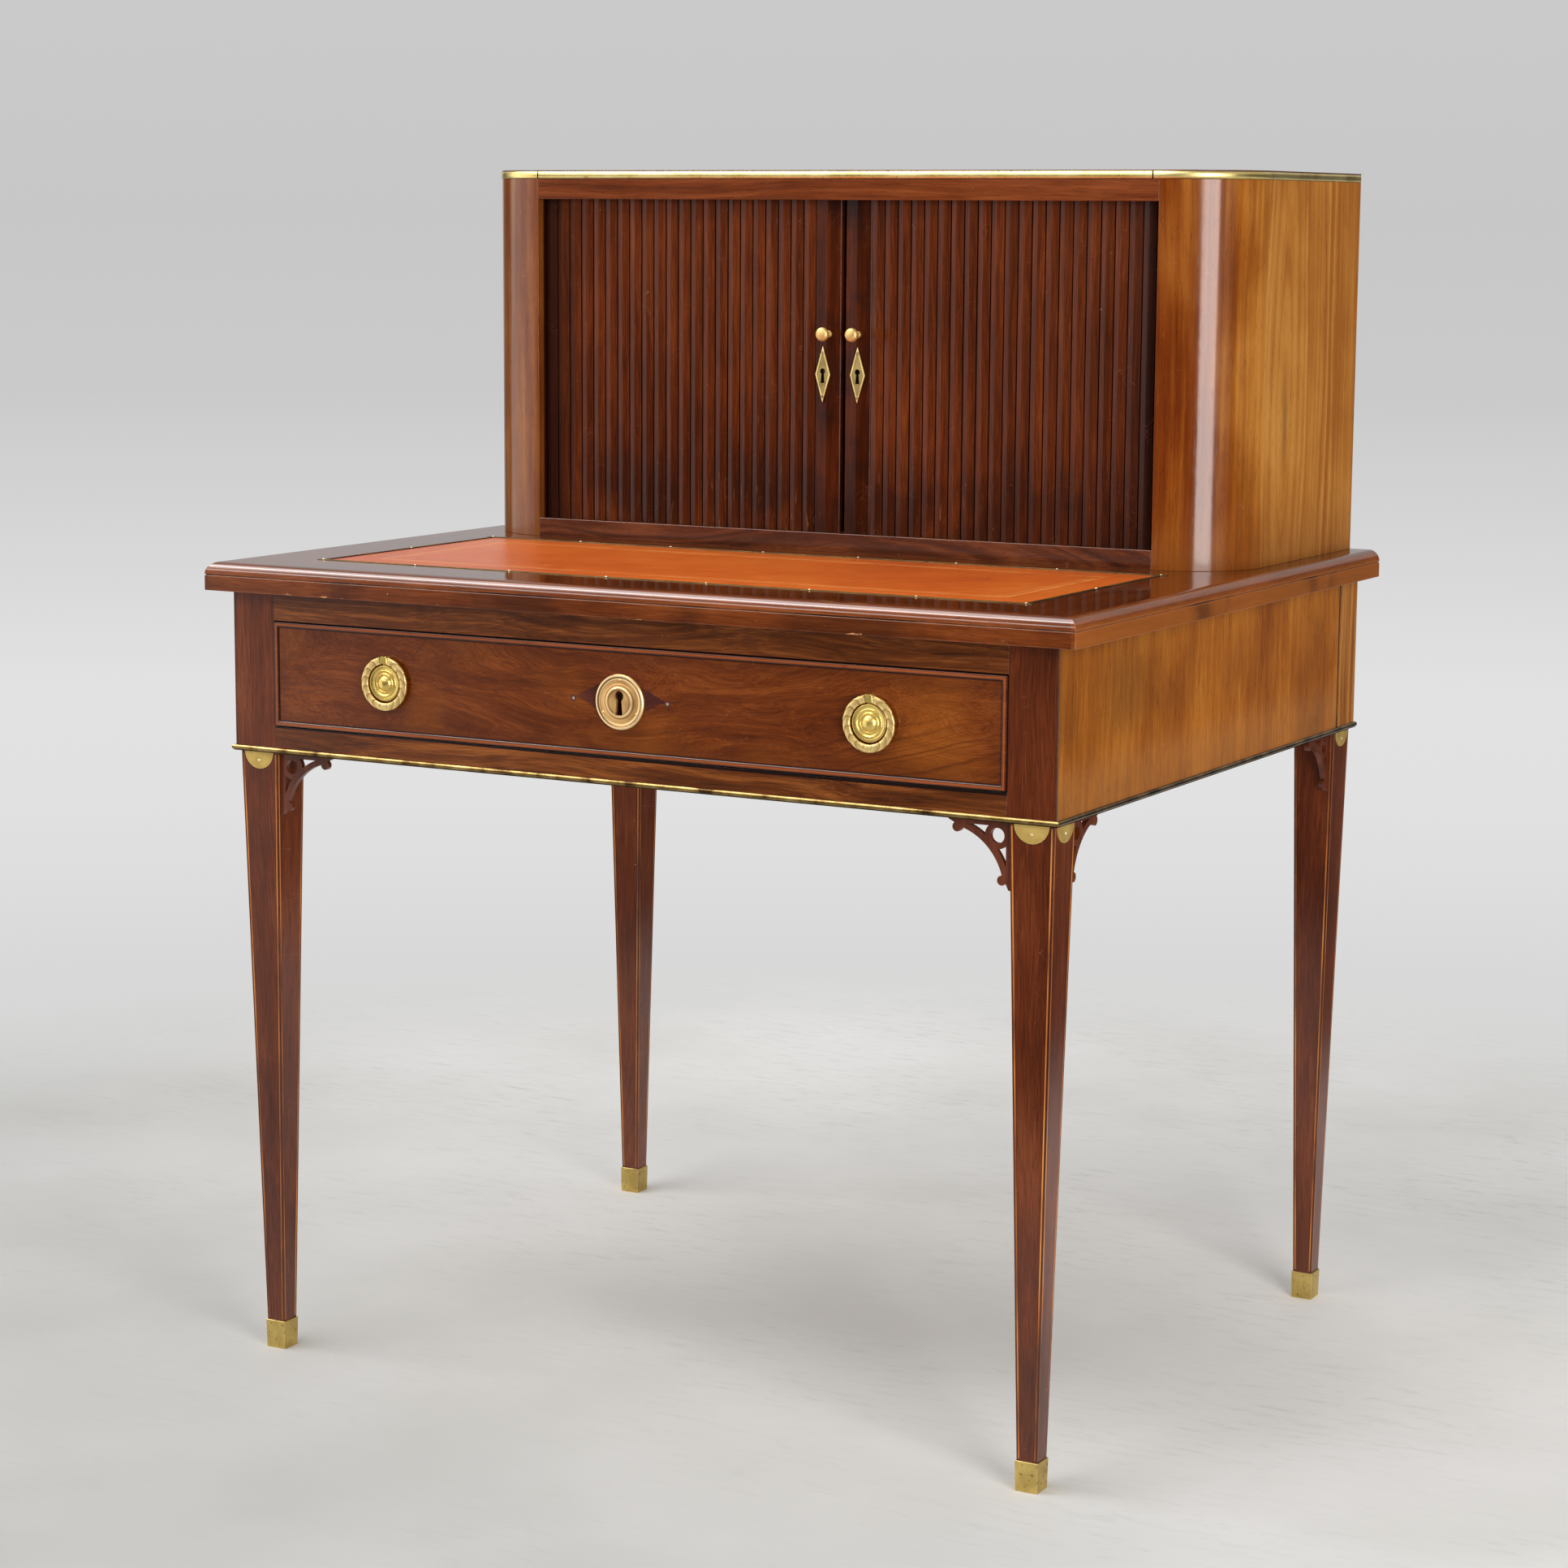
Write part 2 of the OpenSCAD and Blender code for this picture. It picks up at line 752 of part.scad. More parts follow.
// Top board: a thin lid over a core whose rebate holds the heads of the slats
module cabinet_top() {
    color([0.36, 0.18, 0.1]) {
        translate([0, 0, lid_z])
            difference() {
                linear_extrude(lid_t) cabinet_plan(0);
                translate([0, 0, -EPS])
                    linear_extrude(lid_strip_h + EPS)
                        difference() {
                            cabinet_plan(-1);
                            cabinet_plan(lid_strip_out);
                            translate([-cab_x, cab_back - lid_strip_out - EPS])
                                square([2 * cab_x, lid_strip_out + 2]);
                        }
            }
        translate([0, 0, door_top])
            difference() {
                linear_extrude(cab_top_h) cabinet_plan(shell_t);
                translate([0, 0, -1])
                    linear_extrude(track_d + 1)
                        difference() {
                            cabinet_plan(shell_t - 1);
                            cabinet_plan(shell_t + track_w);
                            translate([-cab_x, cab_back - shell_t - track_w - 1])
                                square([2 * cab_x, shell_t + track_w + 2]);
                        }
            }
    }
}

// Facing strips above and below the doors
module cabinet_facing(z, h) {
    color([0.34, 0.16, 0.1])
        translate([-jamb_x, cab_front, z]) cube([2 * jamb_x, shell_t, h]);
}

module cabinet_top_rail() { cabinet_facing(door_top, cab_top_h); }
module cabinet_bottom_rail() { cabinet_facing(writing_h, cab_bottom_h); }

// Brass strip on the edge of the top board, in three lengths with open joints
module cabinet_edge_strip() {
    joint = 0.4;
    color([0.82, 0.72, 0.42])
        translate([0, 0, lid_z])
            linear_extrude(lid_strip_h)
                difference() {
                    cabinet_plan(-lid_strip_out * 0.4);
                    cabinet_plan(lid_strip_out);
                    translate([-cab_x - 2, cab_back - lid_strip_out - EPS])
                        square([2 * cab_x + 4, lid_strip_out + 4]);
                    for (x = [-jamb_x, jamb_x - 6])
                        translate([x, cab_front - 4]) square([joint, 10]);
                }
}

// Inner sides that keep the contents clear of the tambours
module inner_sides() {
    color([0.45, 0.27, 0.15])
        for (side = [0, 1])
            mirror([side, 0, 0])
                translate([jamb_x, inner_front, floor_z])
                    cube([inner_t, cab_back - shell_t - inner_front, door_top - floor_z]);
}

module cabinet_shelf() {
    y0 = slat_front + stile_t + 10;
    color([0.45, 0.27, 0.15])
        translate([-jamb_x, y0, floor_z + shelf_h])
            cube([2 * jamb_x, cab_back - shell_t - y0, inner_t]);
}

// Section of one slat: its face is rounded off towards both edges
module slat_profile() {
    half = (slat_pitch - slat_gap) / 2;
    polygon([
        [-half, slat_t],
        [-half, 2.2],
        [-half + 1.2, 0.6],
        [-half + 3.2, 0],
        [half - 3.2, 0],
        [half - 1.2, 0.6],
        [half, 2.2],
        [half, slat_t]
    ]);
}

// Angle that one slat takes in the rounded corner
bend_r = corner_r - shell_t - run - slat_t;
slat_turn = slat_pitch / bend_r * 180 / PI;

// Slats of a door, drawn for the right hand door, from the stile at x0 to past the jamb
module slats(x0) {
    straight = floor((jamb_x - x0) / slat_pitch + 0.5);
    left_over = jamb_x - x0 - straight * slat_pitch;
    translate([0, 0, slat_z0])
        linear_extrude(slat_z1 - slat_z0) {
            for (k = [0:straight - 1])
                translate([x0 + (k + 0.5) * slat_pitch, slat_front]) slat_profile();
            for (k = [0:tail_slats - 1])
                translate([jamb_x, corner_y])
                    rotate(slat_turn * (k + 0.5 - left_over / slat_pitch))
                        translate([0, slat_front - corner_y]) slat_profile();
        }
}

// Cloth behind the straight run of slats
module cloth(x0) {
    translate([x0, slat_front + slat_t, slat_z0])
        cube([jamb_x - x0, cloth_t, slat_z1 - slat_z0]);
}

module tambour_slats_left() {
    color([0.3, 0.14, 0.08]) mirror([1, 0, 0]) slats(stile_w - left_edge);
}
module tambour_slats_right() {
    color([0.3, 0.14, 0.08]) slats(right_edge + stile_w);
}
module tambour_cloth_left() {
    color([0.5, 0.42, 0.32]) mirror([1, 0, 0]) cloth(stile_w - left_edge);
}
module tambour_cloth_right() {
    color([0.5, 0.42, 0.32]) cloth(right_edge + stile_w);
}

// Leading stile of a door from x0 to x0 + stile_w, with tongues that run in the tracks
module stile(x0) {
    color([0.32, 0.15, 0.09])
        translate([x0, slat_front, 0])
            difference() {
                translate([0, 0, slat_z0]) cube([stile_w, stile_t, slat_z1 - slat_z0]);
                for (z = [slat_z0 - 1, door_top - run])
                    translate([-1, slat_t + cloth_t, z])
                        cube([stile_w + 2, stile_t, track_d + 1]);
                stile_chamfers();
            }
}

// Bevels along both front edges of a stile
module stile_chamfers() {
    for (x = [0, stile_w])
        translate([x, 0, slat_z0 - 1])
            linear_extrude(slat_z1 - slat_z0 + 2)
                polygon([
                    [-stile_bevel, 0], [0, -stile_bevel], [stile_bevel, 0], [0, stile_bevel]
                ]);
}

module door_stile_left() { stile(left_edge - stile_w); }
module door_stile_right() { stile(right_edge); }

// Turned knob that stands on the stile and points to the front
module knob(x) {
    cap = knob_out - 7;
    color([0.76, 0.64, 0.32])
        translate([x, slat_front, writing_h + knob_h])
            rotate([90, 0, 0])
                rotate_extrude()
                    polygon([
                        [0, 0], [4.4, 0], [4.4, 1.2], [2.6, 2.6], [2.2, cap - 1.5],
                        [3, cap], [knob_r - 0.8, cap + 0.8], [knob_r, cap + 2.4],
                        [knob_r - 0.5, cap + 4.2], [knob_r - 2.2, cap + 6], [0, cap + 7]
                    ]);
}

module door_knob_left() { knob(left_knob_x); }
module door_knob_right() { knob(right_knob_x); }

// Outline of a keyhole: round above, flared slot below
module keyhole(r, drop) {
    circle(r, $fn = 32);
    polygon([
        [-r * 0.5, 0], [r * 0.5, 0], [r * 0.8, -drop], [-r * 0.8, -drop]
    ]);
}

// Pointed keyhole plate of a door, with its keyhole and two screw holes
module key_plate(x) {
    w = lozenge_w / 2;
    h = lozenge_h / 2;
    color([0.78, 0.68, 0.4])
        translate([x, slat_front, writing_h + key_h])
            rotate([90, 0, 0])
                linear_extrude(lozenge_t)
                    difference() {
                        polygon([[-2.4, -h], [2.4, -h], [w, 0], [2.4, h], [-2.4, h], [-w, 0]]);
                        translate([0, 3]) keyhole(2.6, 9);
                        for (z = [-1, 1])
                            translate([0, z * (h - lozenge_hole_in)])
                                circle(lozenge_hole_r, $fn = 24);
                    }
}

module door_key_plate_left() { key_plate(left_lozenge_x); }
module door_key_plate_right() { key_plate(right_lozenge_x); }

// Slotted screws of a keyhole plate, seated in its holes
module plate_screws(x) {
    color([0.7, 0.6, 0.36])
        for (z = [-1, 1])
            translate([x, slat_front, writing_h + key_h + z * (lozenge_h / 2 - lozenge_hole_in)])
                rotate([90, 0, 0])
                    difference() {
                        cylinder(r = lozenge_hole_r - 0.1, h = lozenge_t + 0.5, $fn = 24);
                        translate([-2, -0.25, lozenge_t]) cube([4, 0.5, 1]);
                    }
}

module door_plate_screws_left() { plate_screws(left_lozenge_x); }
module door_plate_screws_right() { plate_screws(right_lozenge_x); }

// Drawer front, rebated all round for its bead and bored for the key
module drawer_front() {
    h = drawer_z1 - drawer_z0;
    color([0.43, 0.22, 0.11])
        translate([-drawer_x, frieze_front, drawer_z0])
            difference() {
                cube([2 * drawer_x, front_t, h]);
                difference() {
                    translate([-1, -1, -1]) cube([2 * drawer_x + 2, cock_deep + 1, h + 2]);
                    translate([cock_w, -2, cock_w])
                        cube([2 * (drawer_x - cock_w), cock_deep + 3, h - 2 * cock_w]);
                }
                translate([drawer_x, front_t + 1, drawer_mid + key_up - drawer_z0])
                    rotate([90, 0, 0])
                        linear_extrude(front_t + 2) keyhole(key_r, key_drop);
                // Pocket of the lock and slot of its bolt
                translate([drawer_x - lock_w / 2, front_t - lock_t, bolt_top - lock_h - drawer_z0])
                    cube([lock_w, lock_t + 1, lock_h]);
                translate([drawer_x - bolt_w / 2 - run, front_t - lock_t / 2 - bolt_t / 2 - run, h - 10])
                    cube([bolt_w + 2 * run, bolt_t + 2 * run, 20]);
            }
}

// Bead round the drawer front, mitred at the corners
module drawer_cock_bead() {
    h = drawer_z1 - drawer_z0;
    color([0.36, 0.18, 0.1])
        translate([-drawer_x, frieze_front - cock_out, drawer_z0])
            difference() {
                cube([2 * drawer_x, cock_deep + cock_out, h]);
                translate([cock_w, -1, cock_w])
                    cube([2 * (drawer_x - cock_w), cock_deep + cock_out + 2, h - 2 * cock_w]);
            }
}

// Groove that takes the drawer bottom
module bottom_space(gap) {
    translate([
        -drawer_x + side_t - groove_d - gap,
        box_y0 - EPS,
        box_z0 + floor_up - gap
    ])
        cube([2 * (drawer_x - side_t + groove_d + gap), drawer_l - front_t + 1, bottom_t + 2 * gap]);
}

module drawer_sides() {
    color([0.66, 0.5, 0.32])
        difference() {
            for (x = [-drawer_x, drawer_x - side_t])
                translate([x, box_y0, box_z0]) cube([side_t, drawer_l - front_t, box_z1 - box_z0]);
            bottom_space(fit);
        }
}

module drawer_back() {
    color([0.66, 0.5, 0.32])
        translate([-drawer_x + side_t, box_y1 - side_t, box_z0 + floor_up + bottom_t])
            cube([2 * (drawer_x - side_t), side_t, box_z1 - box_z0 - floor_up - bottom_t - 6]);
}

module drawer_bottom() {
    color([0.6, 0.45, 0.29])
        translate([-drawer_x + side_t - groove_d, box_y0, box_z0 + floor_up])
            cube([2 * (drawer_x - side_t + groove_d), drawer_l - front_t, bottom_t]);
}

// Lock case let into the back of the drawer front
module drawer_lock() {
    color([0.62, 0.54, 0.32])
        translate([-lock_w / 2, frieze_front + front_t - lock_t, bolt_top - lock_h])
            difference() {
                cube([lock_w, lock_t, lock_h]);
                translate([lock_w / 2 - bolt_w / 2 - run, lock_t / 2 - bolt_t / 2 - run, lock_h - bolt_h - 1])
                    cube([bolt_w + 2 * run, bolt_t + 2 * run, bolt_h + 2]);
                translate([lock_w / 2, -1, drawer_mid + key_up - bolt_top + lock_h])
                    rotate([-90, 0, 0])
                        cylinder(r = 3, h = 3);
            }
}

// Bolt of the lock, drawn back in its case
module drawer_lock_bolt() {
    color([0.55, 0.55, 0.53])
        translate([-bolt_w / 2, frieze_front + front_t - lock_t / 2 - bolt_t / 2, bolt_top - bolt_h])
            cube([bolt_w, bolt_t, bolt_h]);
}

// Dished round plate with a raised rim and three pins round its keyhole
module drawer_key_plate() {
    r = key_plate_r;
    color([0.7, 0.57, 0.33])
        translate([0, frieze_front, drawer_mid])
            rotate([90, 0, 0]) {
                difference() {
                    rotate_extrude($fn = 96)
                        polygon([
                            [0, 0], [r, 0], [r, 1.4], [r - 0.8, 2.2], [r - 2, 2.4], [r - 3, 1.9],
                            [r - 5.5, 1.3], [r - 8, 1.5], [r - 10.5, 2.2], [r - 12, 3], [r - 13.2, 3],
                            [r - 14, 2.5], [0, 2.5]
                        ]);
                    translate([0, key_up, -1]) linear_extrude(6) keyhole(key_r, key_drop);
                }
                for (a = [90, 210, 330])
                    rotate(a) translate([r - 5, 0, 1.2]) pin_head(1.3);
            }
}

// Two stepped bosses, each with the lug that carries a ring
module pull_plates() {
    r = pull_plate_r;
    color([0.74, 0.61, 0.3])
        for (side = [-1, 1])
            translate([side * pull_x, frieze_front, drawer_mid])
                rotate([90, 0, 0]) {
                    rotate_extrude($fn = 96)
                        polygon([
                            [0, 0], [r, 0], [r, 1.2], [r - 1, 2.2], [r - 3.2, 2.6], [r - 4, 2.2],
                            [r - 5.5, 2.8], [r - 7.6, 4.2], [r - 8.4, 4], [r - 9.6, 5],
                            [r - 11.5, 6.6], [0, 7.4]
                        ]);
                    difference() {
                        translate([-lug_w / 2, r - 2, 0])
                            cube([lug_w, ring_r - r + 2, frieze_front - ring_y + ring_t / 2]);
                        translate([-lug_w, ring_mid, frieze_front - ring_y])
                            rotate([0, 90, 0]) cylinder(r = pin_r + fit, h = 2 * lug_w, $fn = 32);
                    }
                }
}

// Ring pull, open at its head, where its pin passes through the lug
module ring_pull(side) {
    gap = lug_w + 1.4;
    color([0.72, 0.61, 0.38])
        translate([side * pull_x, ring_y, drawer_mid])
            rotate([90, 0, 0]) {
                difference() {
                    rotate_extrude($fn = 96)
                        translate([ring_mid, 0]) {
                            translate([ring_w / 2 - ring_t / 2, 0]) circle(ring_t / 2, $fn = 24);
                            translate([ring_t / 2 - ring_w / 2, 0]) circle(ring_t / 2, $fn = 24);
                            translate([ring_t / 2 - ring_w / 2, -ring_t / 2]) square([ring_w - ring_t, ring_t]);
                        }
                    translate([-gap / 2, ring_mid - ring_w, -ring_t])
                        cube([gap, 2 * ring_w, 2 * ring_t]);
                }
                translate([-gap / 2 - 2, ring_mid, 0])
                    rotate([0, 90, 0]) cylinder(r = pin_r, h = gap + 4, $fn = 32);
            }
}

module ring_pull_left() { ring_pull(-1); }
module ring_pull_right() { ring_pull(1); }

leg_front_left();
leg_front_right();
leg_back_left();
leg_back_right();
leg_stringing();
shoe_front_left();
shoe_front_right();
shoe_back_left();
shoe_back_right();
half_moon_plates();
brass_pins();
side_rail_left();
side_rail_right();
back_rail();
front_top_rail();
front_bottom_rail();
frieze_bead();
bracket_front_left();
bracket_front_right();
bracket_left_front();
bracket_left_back();
bracket_right_front();
bracket_right_back();
drawer_bearers();
writing_top();
leather_panel();
leather_edge_strips();
cabinet_floor();
cabinet_side_left();
cabinet_side_right();
cabinet_back();
cabinet_top();
cabinet_top_rail();
cabinet_bottom_rail();
cabinet_edge_strip();
inner_sides();
cabinet_shelf();
tambour_slats_left();
tambour_slats_right();
tambour_cloth_left();
tambour_cloth_right();
drawer_front();
drawer_sides();
drawer_back();
drawer_bottom();
drawer_cock_bead();
drawer_lock();
drawer_lock_bolt();
drawer_key_plate();
pull_plates();
ring_pull_left();
ring_pull_right();
door_stile_left();
door_knob_left();
door_key_plate_left();
door_plate_screws_left();
door_stile_right();
door_knob_right();
door_key_plate_right();
door_plate_screws_right();
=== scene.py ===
import math
import random

import bmesh
import bpy
from mathutils import Matrix, Vector


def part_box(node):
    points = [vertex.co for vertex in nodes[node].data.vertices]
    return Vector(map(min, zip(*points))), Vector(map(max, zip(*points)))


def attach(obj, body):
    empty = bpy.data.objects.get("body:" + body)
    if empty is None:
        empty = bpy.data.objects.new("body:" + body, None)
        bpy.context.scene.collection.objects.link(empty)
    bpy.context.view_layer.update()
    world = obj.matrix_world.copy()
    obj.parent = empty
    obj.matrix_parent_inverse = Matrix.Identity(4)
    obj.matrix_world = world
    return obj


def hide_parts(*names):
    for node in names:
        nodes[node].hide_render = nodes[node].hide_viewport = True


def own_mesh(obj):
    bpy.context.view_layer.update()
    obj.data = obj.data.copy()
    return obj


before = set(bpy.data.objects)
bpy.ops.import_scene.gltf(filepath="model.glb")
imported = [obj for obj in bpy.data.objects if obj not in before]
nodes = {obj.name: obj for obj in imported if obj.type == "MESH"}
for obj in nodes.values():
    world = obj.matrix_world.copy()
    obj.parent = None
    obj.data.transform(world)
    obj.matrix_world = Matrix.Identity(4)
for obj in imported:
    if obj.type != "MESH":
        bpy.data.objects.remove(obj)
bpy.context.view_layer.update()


# ----------------------------------------
# Studio: a pale floor that runs out into a pale backdrop, a tall soft box at the front
# right, a long one over the left and a low strip at the front left. Polish also mirrors a
# bright wall at the left, a bright patch of ceiling, and a dark room in front and behind.
# ----------------------------------------

def tone(red, green, blue):
    """A colour as it reads on a screen, 0 to 255, turned into Blender's linear values."""
    return (*(part / 12.92 if part <= 0.04045 else ((part + 0.055) / 1.055) ** 2.4
              for part in (red / 255, green / 255, blue / 255)), 1)


class Value:
    """An output of a shader node. Sums and comparisons with it add nodes to its tree."""

    def __init__(self, tree, socket):
        self.tree, self.socket = tree, socket

    def beside(self, name):
        """Another output of the same node."""
        return Value(self.tree, self.socket.node.outputs[name])

    def __add__(self, other): return calc("ADD", self, other)
    def __sub__(self, other): return calc("SUBTRACT", self, other)
    def __rsub__(self, other): return calc("SUBTRACT", other, self)
    def __mul__(self, other): return calc("MULTIPLY", self, other)
    def __truediv__(self, other): return calc("DIVIDE", self, other)
    def __rtruediv__(self, other): return calc("DIVIDE", other, self)
    def __gt__(self, other): return calc("GREATER_THAN", self, other)
    def __lt__(self, other): return calc("LESS_THAN", self, other)
    def __abs__(self): return calc("ABSOLUTE", self)

    __radd__ = __add__


def fill(tree, inputs, sockets):
    """Sets sockets by name or number, or links them. A colour is given as screen tones."""
    for name, value in sockets.items():
        if isinstance(value, Value):
            tree.links.new(value.socket, inputs[name])
        else:
            inputs[name].default_value = tone(*value) if inputs[name].type == "RGBA" else value


def put(kind, sockets=None, output=0, tree=None, **settings):
    """Adds a shader node to a tree, or to the tree of what it takes, and gives one output."""
    sockets = sockets or {}
    tree = tree or next(value.tree for value in sockets.values() if isinstance(value, Value))
    made = tree.nodes.new("ShaderNode" + kind)
    for name, value in settings.items():
        setattr(made, name, value)
    fill(tree, made.inputs, sockets)
    return Value(tree, made.outputs[output])


def calc(operation, *values):
    return put("Math", dict(enumerate(values)), operation=operation)


def held(value):
    """The same value, kept between 0 and 1."""
    value.socket.node.use_clamp = True
    return value


def vector(operation, first, second=(0, 0, 0)):
    """Distance, dot product and length give a number, other operations a vector."""
    output = "Value" if operation in ("DISTANCE", "DOT_PRODUCT", "LENGTH") else 0
    return put("VectorMath", {0: first, 1: second}, output, operation=operation)


def scaled(colour, factor):
    return put("VectorMath", {0: colour, 3: factor}, operation="SCALE")


def parts(place):
    """The three numbers of a vector."""
    split = put("SeparateXYZ", {0: place})
    return [split.beside(axis) for axis in "XYZ"]


def blend(share, under, over):
    """Lays one colour over another, by a share from 0 to 1."""
    return put("Mix", {0: share, 6: under, 7: over}, 2, data_type="RGBA")


def ramp(value, *stops):
    """Turns a value into a colour, by stops of (position, screen tones)."""
    made = put("ValToRGB", {0: value})
    elements = made.socket.node.color_ramp.elements
    while len(elements) < len(stops):
        elements.new(0.5)
    for element, (position, shade) in zip(elements, stops):
        element.position = position
        element.color = tone(*shade)
    return made


def eased(value, low, high, at_low=0.0, at_high=1.0):
    """Goes smoothly from one level to another as a value passes from low to high."""
    return put("MapRange", {"Value": value, 1: low, 2: high, 3: at_low, 4: at_high},
               interpolation_type="SMOOTHSTEP")


def window(value, low, full, falling, high, floor=0):
    """Rises to 1 between low and full, and falls again between falling and high."""
    return eased(value, low, full) * eased(value, falling, high, 1, floor)


def noise(place, scale, detail, output=0, **more):
    return put("TexNoise", {"Vector": place, "Scale": scale, "Detail": detail, **more}, output)


def mapped(place, **sockets):
    return put("Mapping", {"Vector": place, **sockets})


def new_material(name):
    """An empty material, and the place on the piece that it colours."""
    material = bpy.data.materials.new(name)
    material.use_nodes = True
    return material, put("TexCoord", output="Object", tree=material.node_tree)


def surface(material, looks):
    """Gives a material's Principled shader its looks."""
    fill(material.node_tree, material.node_tree.nodes["Principled BSDF"].inputs, looks)
    return material


def new_object(name, data, material=None):
    made = bpy.data.objects.new(name, data)
    bpy.context.scene.collection.objects.link(made)
    if material:
        data.materials.append(material)
    return made


def camera_as_photographed():
    place = Vector((1.6358, -2.9871, 1.0695))
    yaw, pitch, roll = (math.radians(a) for a in (29.073, 8.953, 0.348))
    ahead = Vector((-math.sin(yaw) * math.cos(pitch), math.cos(yaw) * math.cos(pitch), -math.sin(pitch)))
    level = Vector((math.cos(yaw), math.sin(yaw), 0))
    above = level.cross(ahead)
    right = math.cos(roll) * level + math.sin(roll) * above
    up = math.cos(roll) * above - math.sin(roll) * level
    data = bpy.data.cameras.new("camera")
    data.sensor_fit = "HORIZONTAL"
    data.sensor_width = 36
    data.lens = 82.73
    made = new_object("camera", data)
    made.matrix_world = Matrix((right, up, -ahead)).transposed().to_4x4()
    made.location = place
    bpy.context.scene.camera = made


def soft_box(name, place, aim, width, height, watts, shade):
    data = bpy.data.lights.new(name, "AREA")
    data.shape = "RECTANGLE"
    data.size, data.size_y = width, height
    data.energy = watts
    data.color = shade
    made = new_object(name, data)
    made.location = place
    made.rotation_euler = (Vector(aim) - Vector(place)).to_track_quat("-Z", "Y").to_euler()


def studio_walls():
    """A pale backdrop for the camera, an even light for matt surfaces, and for polish bright
    and dark regions, by the turn from straight ahead of the table and by the height."""
    world = bpy.data.worlds.new("studio")
    world.use_nodes = True
    bpy.context.scene.world = world
    tree = world.node_tree
    direction = put("TexCoord", output="Generated", tree=tree)
    x, y, z = parts(direction)
    backdrop = ramp(
        held(z * 1.5 + 0.5), (0.10, (206, 206, 204)), (0.20, (217, 217, 217)), (0.26, (225, 225, 225)),
        (0.31, (226, 226, 226)), (0.36, (216, 216, 216)), (0.43, (202, 202, 202)), (0.50, (199, 199, 199)),
        (0.60, (202, 202, 203)))
    turn = calc("ARCTAN2", x, y * -1)
    lit_wall = window(turn, -1.75, -1.55, -0.85, -0.6)
    ahead = window(turn, -0.72, -0.5, 0.55, 0.8)
    behind_right = window(turn, 1.2, 1.6, 2.9, 3.1)
    behind_left = window(turn, -2.3, -2.1, -1.75, -1.55)
    low_down = eased(abs(z + 0.05), 0.22, 0.4, 1, 0)
    dark = held(ahead + behind_right + behind_left) * low_down
    ceiling = eased(vector("DISTANCE", direction, (-0.53, -0.12, 0.84)), 0.22, 0.42, 6.0, 0)
    mirrored = eased(lit_wall, 0, 1, 0.5, 1.3) * eased(dark, 0, 1, 1.0, 0.14) + ceiling
    even = eased(z, 0.1, 0.8, 0.8, 0.4)
    glossy, camera = (put("LightPath", None, f"Is {kind} Ray", tree) for kind in ("Glossy", "Camera"))
    seen = blend(camera, blend(glossy, even, mirrored), backdrop)
    fill(tree, tree.nodes["Background"].inputs, {"Color": seen})


def pale_floor():
    """Painted floor with faint streaky scuffs, which runs out into the backdrop. Its colour also carries
    painted light: it is lighter towards the back, darker towards the front right, and holds a painted shadow
    under the table."""
    mesh = bpy.data.meshes.new("floor")
    reach = 2.6
    mesh.from_pydata([(-reach, -reach, 0), (reach, -reach, 0), (reach, reach, 0), (-reach, reach, 0)],
                     [], [(0, 1, 2, 3)])
    material, place = new_material("pale_floor")
    patches = noise(place, 2.3, 6.0)
    paint = ramp(patches, (0.3, (208, 208, 205)), (0.5, (217, 217, 215)), (0.7, (224, 224, 223)))
    to_back, to_right = (vector("DOT_PRODUCT", place, way) for way in ((0.45, 0.89, 0), (0.87, -0.5, 0)))
    # Painted light: lighter towards the back, a painted shadow under the table, and darker towards the front
    # right.
    shade = eased(to_back, -0.8, 0.9, 0.72, 1.38)
    shade = shade * eased(vector("DISTANCE", place, (0.2, -0.05, 0)), 0.1, 0.6, 0.9, 1.0)
    shade = shade * eased(to_right, 0.35, 0.8, 1.0, 0.88)
    streaky = mapped(place, Rotation=(0, 0, 0.5), Scale=(0.2, 1.0, 1.0))
    scuffs = held(noise(streaky, 90.0, 9.0, Roughness=0.8) * 5.0 - 2.6)
    scuffs = scuffs * eased(noise(place, 3.0, 3.0), 0.38, 0.62, 0.12, 0.5)
    away = vector("DISTANCE", place, (-0.05, 0.15, 0))
    surface(material, {"Base Color": blend(scuffs, scaled(paint, shade), (172, 170, 166)), "Roughness": 0.6,
                       "Specular IOR Level": 0.1, "Alpha": eased(away, 1.0, 1.65, 1, 0)})
    new_object("floor", mesh, material)


camera_as_photographed()
soft_box("soft_box_right", (2.35, -1.75, 1.05), (0.1, 0, 0.85), 1.15, 2.3, 74, (1, 0.97, 0.94))
soft_box("soft_box_left", (-1.1, -1.85, 1.72), (-0.1, -0.2, 0.75), 1.9, 0.3, 12, (1, 0.99, 0.98))
soft_box("soft_box_above", (-1.2, -1.1, 2.9), (-0.9, -0.3, 0.7), 2.9, 0.45, 44, (1, 0.99, 0.98))
studio_walls()
pale_floor()
bpy.context.scene.view_settings.view_transform = "Standard"


# ----------------------------------------
# Legs: solid mahogany, each sawn with its square block in the frieze, then tapered, and
# French polished. The arrises have gone nearly black and the faces are rubbed and nicked.
# ----------------------------------------

def most(first, second):
    return calc("MAXIMUM", first, second)


def noise_along(value, detail, **more):
    """Noise that changes with one number only."""
    return put("TexNoise", {"W": value, "Scale": 1.0, "Detail": detail, **more},
               noise_dimensions="1D")


def bumped(height, strength, distance):
    return put("Bump", {"Height": height, "Strength": strength, "Distance": distance})


